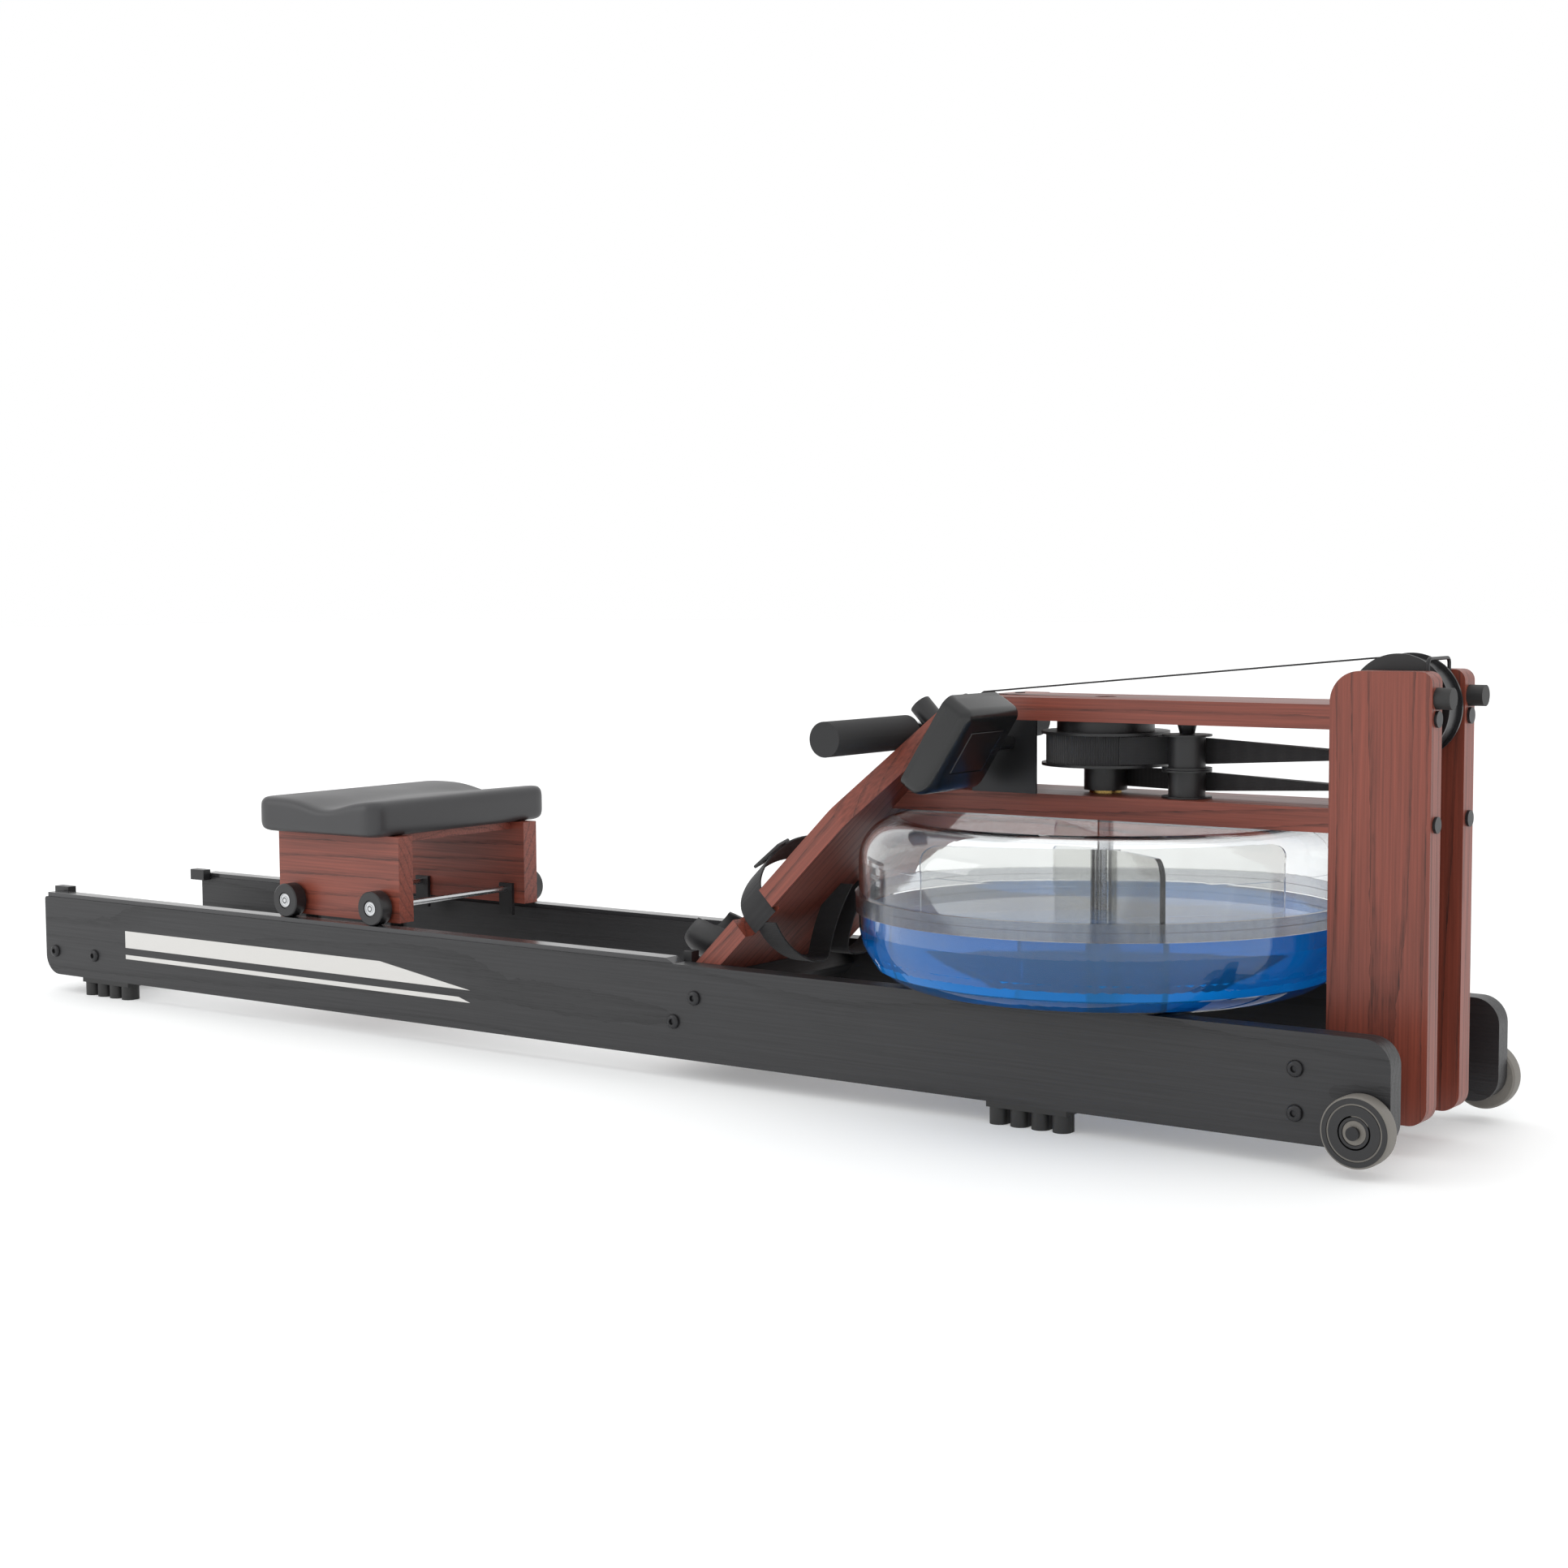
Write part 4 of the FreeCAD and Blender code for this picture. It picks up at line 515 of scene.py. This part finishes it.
webbing = woven("black_webbing", (0.012, 0.012, 0.013), 0.0012)
paint(webbing, "drive_strap", "recoil_belt")
paint(moulded("cord_jacket", (0.012, 0.012, 0.012), 0.6, 1500, 0.5), "recoil_cord")
ribbed = woven("ribbed_webbing", (0.012, 0.012, 0.013), 0.0012)
tree = ribbed.node_tree
low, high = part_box("wound_strap")
RIB_COUNT = 150
drum_place = node(tree, "Mapping", Vector=node(tree, "TexCoord")["Object"],
                  Location=(-(low[0] + high[0]) / 2, 0, 0))[0]
angle_round = node(tree, "TexGradient", {"gradient_type": "RADIAL"}, Vector=drum_place)["Fac"]
turned_by = node(tree, "Math", {"operation": "MULTIPLY"}, _0=angle_round, _1=RIB_COUNT * 2 * math.pi)[0]
rib = node(tree, "Math", {"operation": "SINE"}, _0=turned_by)[0]
tree.links.new(node(tree, "Bump", Height=rib, Strength=0.9, Distance=0.0006)[0],
               tree.nodes["Principled BSDF"].inputs["Normal"])
paint(ribbed, "wound_strap")


def ribbon(name, along, width, points):
    """A flat band whose width lies along X or Y, drawn out from point to point."""
    band = begin(name, bpy.ops.mesh.primitive_plane_add, size=1)
    axis = "xy".index(along)
    pick(band, "verts", lambda vertex: vertex.co[1 - axis] > 0)
    bpy.ops.mesh.delete(type="VERT")
    bpy.ops.mesh.select_all(action="SELECT")
    shift = [0.0, 0.0, 0.0]
    shift[1 - axis] = 0.5
    bpy.ops.transform.translate(value=Vector(points[0]) + Vector(shift))
    stretch = [1, 1, 1]
    stretch[axis] = width
    bpy.ops.transform.resize(value=stretch, center_override=points[0])
    for here, there in zip(points, points[1:]):
        bpy.ops.mesh.extrude_region_move(
            TRANSFORM_OT_translate={"value": Vector(there) - Vector(here)})
    return band


def thicken(band, thickness, smoothing):
    """Rounds a band's path and gives it its thickness."""
    bpy.ops.mesh.select_all(action="SELECT")
    bpy.ops.mesh.normals_make_consistent(inside=False)
    bpy.ops.object.mode_set(mode="OBJECT")
    if smoothing:
        modify(band, "SUBSURF", levels=smoothing, render_levels=smoothing,
               boundary_smooth="PRESERVE_CORNERS")
    modify(band, "SOLIDIFY", thickness=thickness, offset=0)


# ---- handle strap ----
# Black webbing sewn round the handle's bar. It runs over the top deck's end and the big pulley, and
# pulls out with the handle.
PULL_WIDTH, PULL_THICK = 0.025, 0.0018
low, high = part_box("top_pulley")
pulley = Vector(((low[0] + high[0]) / 2, 0, (low[2] + high[2]) / 2))
strap_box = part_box("handle_strap")
top_of_wrap = Vector((pulley.x, 0, strap_box[1][2] - PULL_THICK / 2))
DECK_CORNER_X, DECK_CORNER_Z, BAR_Z = 0.4793, 0.4618, 0.4243
deck_corner = Vector((DECK_CORNER_X, 0, DECK_CORNER_Z))
bar_end = Vector((strap_box[0][0] + 0.001, 0, BAR_Z))
run = [top_of_wrap.lerp(deck_corner, step / 16) for step in range(17)]
run += [deck_corner.lerp(bar_end, step / 4) for step in range(1, 5)]
pull = ribbon("pull_strap", "y", PULL_WIDTH, run)
pick(pull, "edges", lambda edge: all(abs(v.co.x - pulley.x) < 1e-5 for v in edge.verts))
bpy.ops.mesh.spin(steps=20, angle=math.pi, center=pulley, axis=(0, 1, 0))
thicken(pull, PULL_THICK, 0)
close(pull)
fit(pull, webbing, None, "webbing", "handle_strap")
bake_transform(pull)


# ---- handle ----
# A steel bar in two grips of closed-cell foam with rounded ends.
foam = moulded("grip_foam", (0.02, 0.02, 0.021), 0.8, 700, 0.6)
paint(foam, "handle_grips")


# ---- foot straps ----
# A loop of black webbing over each foot, from the board's notch to its middle, with a plastic
# buckle. Its loose tail hangs under the board and is tucked up behind it.
FOOT_PLACE = Vector((0.15314, 0, 0.138))
LOOP_WIDTH, LOOP_THICK = 0.040, 0.002
LOOP_PATH = ((103, 119, -27), (104, 122, -10), (108, 123, 6), (118, 119, 18), (134, 110, 27),
             (150, 98, 31), (164, 84, 30), (174, 68, 24), (180, 50, 16), (183, 34, 8), (184, 24, 1.4))
TAIL_PATH = ((0.2456, 0.119, 0.191), (0.249, 0.112, 0.176), (0.253, 0.099, 0.160), (0.257, 0.080, 0.147),
             (0.258, 0.058, 0.139), (0.256, 0.036, 0.136), (0.252, 0.020, 0.139), (0.252, 0.018, 0.152),
             (0.262, 0.018, 0.185), (0.275, 0.018, 0.212), (0.285, 0.018, 0.229))
TAIL_WIDTH = 0.030
BUCKLE_SIZE, BUCKLE_FRAME, BUCKLE_ROUND = (0.046, 0.026, 0.004), 0.005, 0.0012
BUCKLE_STATION, BUCKLE_ACROSS, BUCKLE_RISE = 0.153, 0.0965, 0.0345


def lay_on_board(piece):
    """Lays a piece that was made flat onto the footboard: X up the slope, Z off its face."""
    if bpy.context.mode == "EDIT_MESH":
        bpy.ops.object.mode_set(mode="OBJECT")
    piece.rotation_euler = (0, -FOOT_SLOPE, 0)
    piece.location = FOOT_PLACE


loops, buckles = [], []
for side, sign in (("right", -1), ("left", 1)):
    loop = ribbon(f"loop_{side}", "x", LOOP_WIDTH,
                  [(s / 1000, sign * a / 1000, r / 1000) for s, a, r in LOOP_PATH])
    thicken(loop, LOOP_THICK, 2)
    lay_on_board(loop)
    close(loop)
    loops.append(loop)
    buckle = begin(f"buckle_{side}", bpy.ops.mesh.primitive_cube_add, size=1, scale=BUCKLE_SIZE)
    pick(buckle, "faces", lambda face: abs(face.normal.z) > 0.9)
    bpy.ops.mesh.inset(thickness=BUCKLE_FRAME)
    bpy.ops.mesh.bridge_edge_loops()
    pick(buckle, "edges", lambda edge: edge.calc_length() > 0.01)
    bpy.ops.mesh.bevel(offset=BUCKLE_ROUND, segments=2, affect="EDGES")
    bpy.ops.object.mode_set(mode="OBJECT")
    buckle.rotation_euler = (-sign * 0.22, 0.1, 0)
    buckle.location = (BUCKLE_STATION, sign * BUCKLE_ACROSS, BUCKLE_RISE)
    close(buckle)
    lay_on_board(buckle)
    close(buckle)
    buckles.append(buckle)
for side, sign in (("right", -1), ("left", 1)):
    tail = ribbon(f"tail_{side}", "x", TAIL_WIDTH, [(x, sign * y, z) for x, y, z in TAIL_PATH])
    thicken(tail, LOOP_THICK, 2)
    close(tail)
    loops.append(tail)
fit(join("foot_loops", loops), webbing, "frame", "webbing", "foot_straps")
fit(join("foot_buckles", buckles), black_plastic, "frame", "black_plastic")


# ---- heel cups ----
# A flexible black plastic cup for each heel, open towards the toes, with a flared lip. It slides up
# and down the board to suit the foot.
CUP_LONG, CUP_WIDE, CUP_PLACE, CUP_ACROSS = 0.074, 0.062, 0.020, 0.072
SOLE_LIFT, SOLE_TOP, CUP_WALL = 0.0022, 0.004, 0.003
CUP_RINGS = ((0.0, 1.0, 0.0), (0.004, 1.05, -0.001), (0.014, 1.08, -0.004), (0.026, 1.09, -0.008),
             (0.038, 1.07, -0.011), (0.046, 1.02, -0.012))
CUP_BRIM, CUP_FALL = 0.024, 0.55


def above_brim(middle):
    """Tells whether a point of the cup is forward of the line where its side walls fall away."""
    forward = middle.x - CUP_PLACE
    return middle.z > SOLE_TOP - 0.0005 and forward > CUP_BRIM - CUP_FALL * (middle.z - SOLE_TOP)


for side, sign in (("right", -1), ("left", 1)):
    cup = begin(f"cup_{side}", bpy.ops.mesh.primitive_circle_add, vertices=48, radius=0.5, fill_type="NGON")
    bpy.ops.mesh.select_all(action="SELECT")
    bpy.ops.transform.resize(value=(CUP_LONG, CUP_WIDE, 1), center_override=(0, 0, 0))
    bpy.ops.transform.translate(value=(CUP_PLACE, sign * CUP_ACROSS, SOLE_LIFT))
    rise, spread, back = CUP_RINGS[0]
    for higher, wider, further in CUP_RINGS[1:]:
        bpy.ops.mesh.extrude_region_move(
            TRANSFORM_OT_translate={"value": (further - back, 0, higher - rise)})
        bpy.ops.transform.resize(value=(wider / spread, wider / spread, 1),
                                 center_override=(CUP_PLACE + further, sign * CUP_ACROSS, 0))
        rise, spread, back = higher, wider, further
    bpy.ops.mesh.delete(type="ONLY_FACE")
    bpy.ops.mesh.select_all(action="SELECT")
    bpy.ops.mesh.bisect(plane_co=(CUP_PLACE + CUP_BRIM, 0, SOLE_TOP), plane_no=(1, 0, CUP_FALL))
    pick(cup, "faces", lambda face: above_brim(face.calc_center_median()))
    bpy.ops.mesh.delete(type="FACE")
    bpy.ops.object.mode_set(mode="OBJECT")
    modify(cup, "SOLIDIFY", thickness=CUP_WALL, offset=0)
    modify(cup, "BEVEL", width=0.0008, segments=2)
    lay_on_board(cup)
    close(cup)
    fit(cup, black_plastic, f"{side}_heel_cup", "black_plastic", f"heel_cup_{side}")


# ---- console ----
# A moulded two-part case that tilts on the bracket beside the decks: a deep rounded back with a
# battery door, and a flat bezel that holds the screen's lens.
CONSOLE_TILT = math.radians(57.4)
CASE_LENGTH, CASE_WIDTH, CASE_DEPTH = 0.116, 0.112, 0.030
CASE_FOOT = Vector((0.4945, -0.150, 0.365))
case = begin("case_back", bpy.ops.mesh.primitive_cube_add, size=1,
             location=(CASE_LENGTH / 2, 0, -CASE_DEPTH / 2), scale=(CASE_LENGTH, CASE_WIDTH, CASE_DEPTH))
for station, softening in ((0.0, 0.025), (CASE_LENGTH, 0.012)):
    pick(case, "edges", lambda edge: all(abs(v.co.x - station) < 1e-4 and v.co.z < -CASE_DEPTH + 1e-4
                                         for v in edge.verts))
    bpy.ops.mesh.bevel(offset=softening, segments=8, affect="EDGES")
pick(case, "edges", lambda edge: all(abs(abs(v.co.y) - CASE_WIDTH / 2) < 1e-4 for v in edge.verts) and
     edge.calc_face_angle(0) > 1.4 and not all(v.co.z > -1e-4 for v in edge.verts))
bpy.ops.mesh.bevel(offset=0.011, segments=6, affect="EDGES")
pick(case, "faces", lambda face: face.normal.z < -0.98 and face.calc_area() > 0.002)
bpy.ops.mesh.inset(thickness=0.012)
bpy.ops.mesh.inset(thickness=0.0012, depth=-0.0012)
bpy.ops.mesh.inset(thickness=0.0008, depth=0.0014)
bpy.ops.object.mode_set(mode="OBJECT")
case.rotation_euler = (0, -CONSOLE_TILT, 0)
case.location = CASE_FOOT
close(case)
case_plastic = moulded("case_plastic", (0.008, 0.0085, 0.009), 0.24, 1500, 0.15)
fit(case, case_plastic, "console", "black_plastic", "console_back")
paint(case_plastic, "console_front", "console_key")
lens, tree, shader = finish("screen_lens", (0.10, 0.12, 0.11), 0.08)
segments = node(tree, "TexNoise", Vector=node(tree, "TexCoord")["Object"], Scale=60.0)["Fac"]
tree.links.new(node(tree, "MapRange", Value=segments, To_Min=0.06, To_Max=0.12)[0],
               shader.inputs["Roughness"])
paint(lens, "console_lens")


# ---- transport wheels ----
# Two wheels on bolts at the bow: a turned black hub with grooves, and a grey rubber tyre.
ROLL_STEPS = [(0.0340, 0.0004), (0.0362, 0.0022), (0.0365, 0.0060), (0.0365, 0.0168), (0.0361, 0.0196),
              (0.0354, 0.0208), (0.0344, 0.0208)]
HUB_STEPS = [(0.0343, 0.0100), (0.0343, 0.0210), (0.0336, 0.0216), (0.0292, 0.0218), (0.0288, 0.0207),
             (0.0274, 0.0207), (0.0270, 0.0217), (0.0172, 0.0217), (0.0169, 0.0208), (0.0158, 0.0208),
             (0.0155, 0.0217), (0.0128, 0.0217), (0.0120, 0.0207), (0.0090, 0.0207)]
tyre_rubber = moulded("tyre_rubber", (0.15, 0.14, 0.125), 0.6, 900, 0.4)
for side, sign in (("right", -1), ("left", 1)):
    low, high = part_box(f"transport_wheel_{side}")
    inner = high[1] if sign < 0 else low[1]
    centre = ((low[0] + high[0]) / 2, inner, (low[2] + high[2]) / 2)
    fit(turned(f"transport_tyre_{side}", sign, centre, ROLL_STEPS), tyre_rubber,
        f"{side}_transport_wheel", "rubber", f"transport_wheel_{side}")
    fit(turned(f"transport_hub_{side}", sign, centre, HUB_STEPS), black_plastic,
        f"{side}_transport_wheel", "black_plastic")
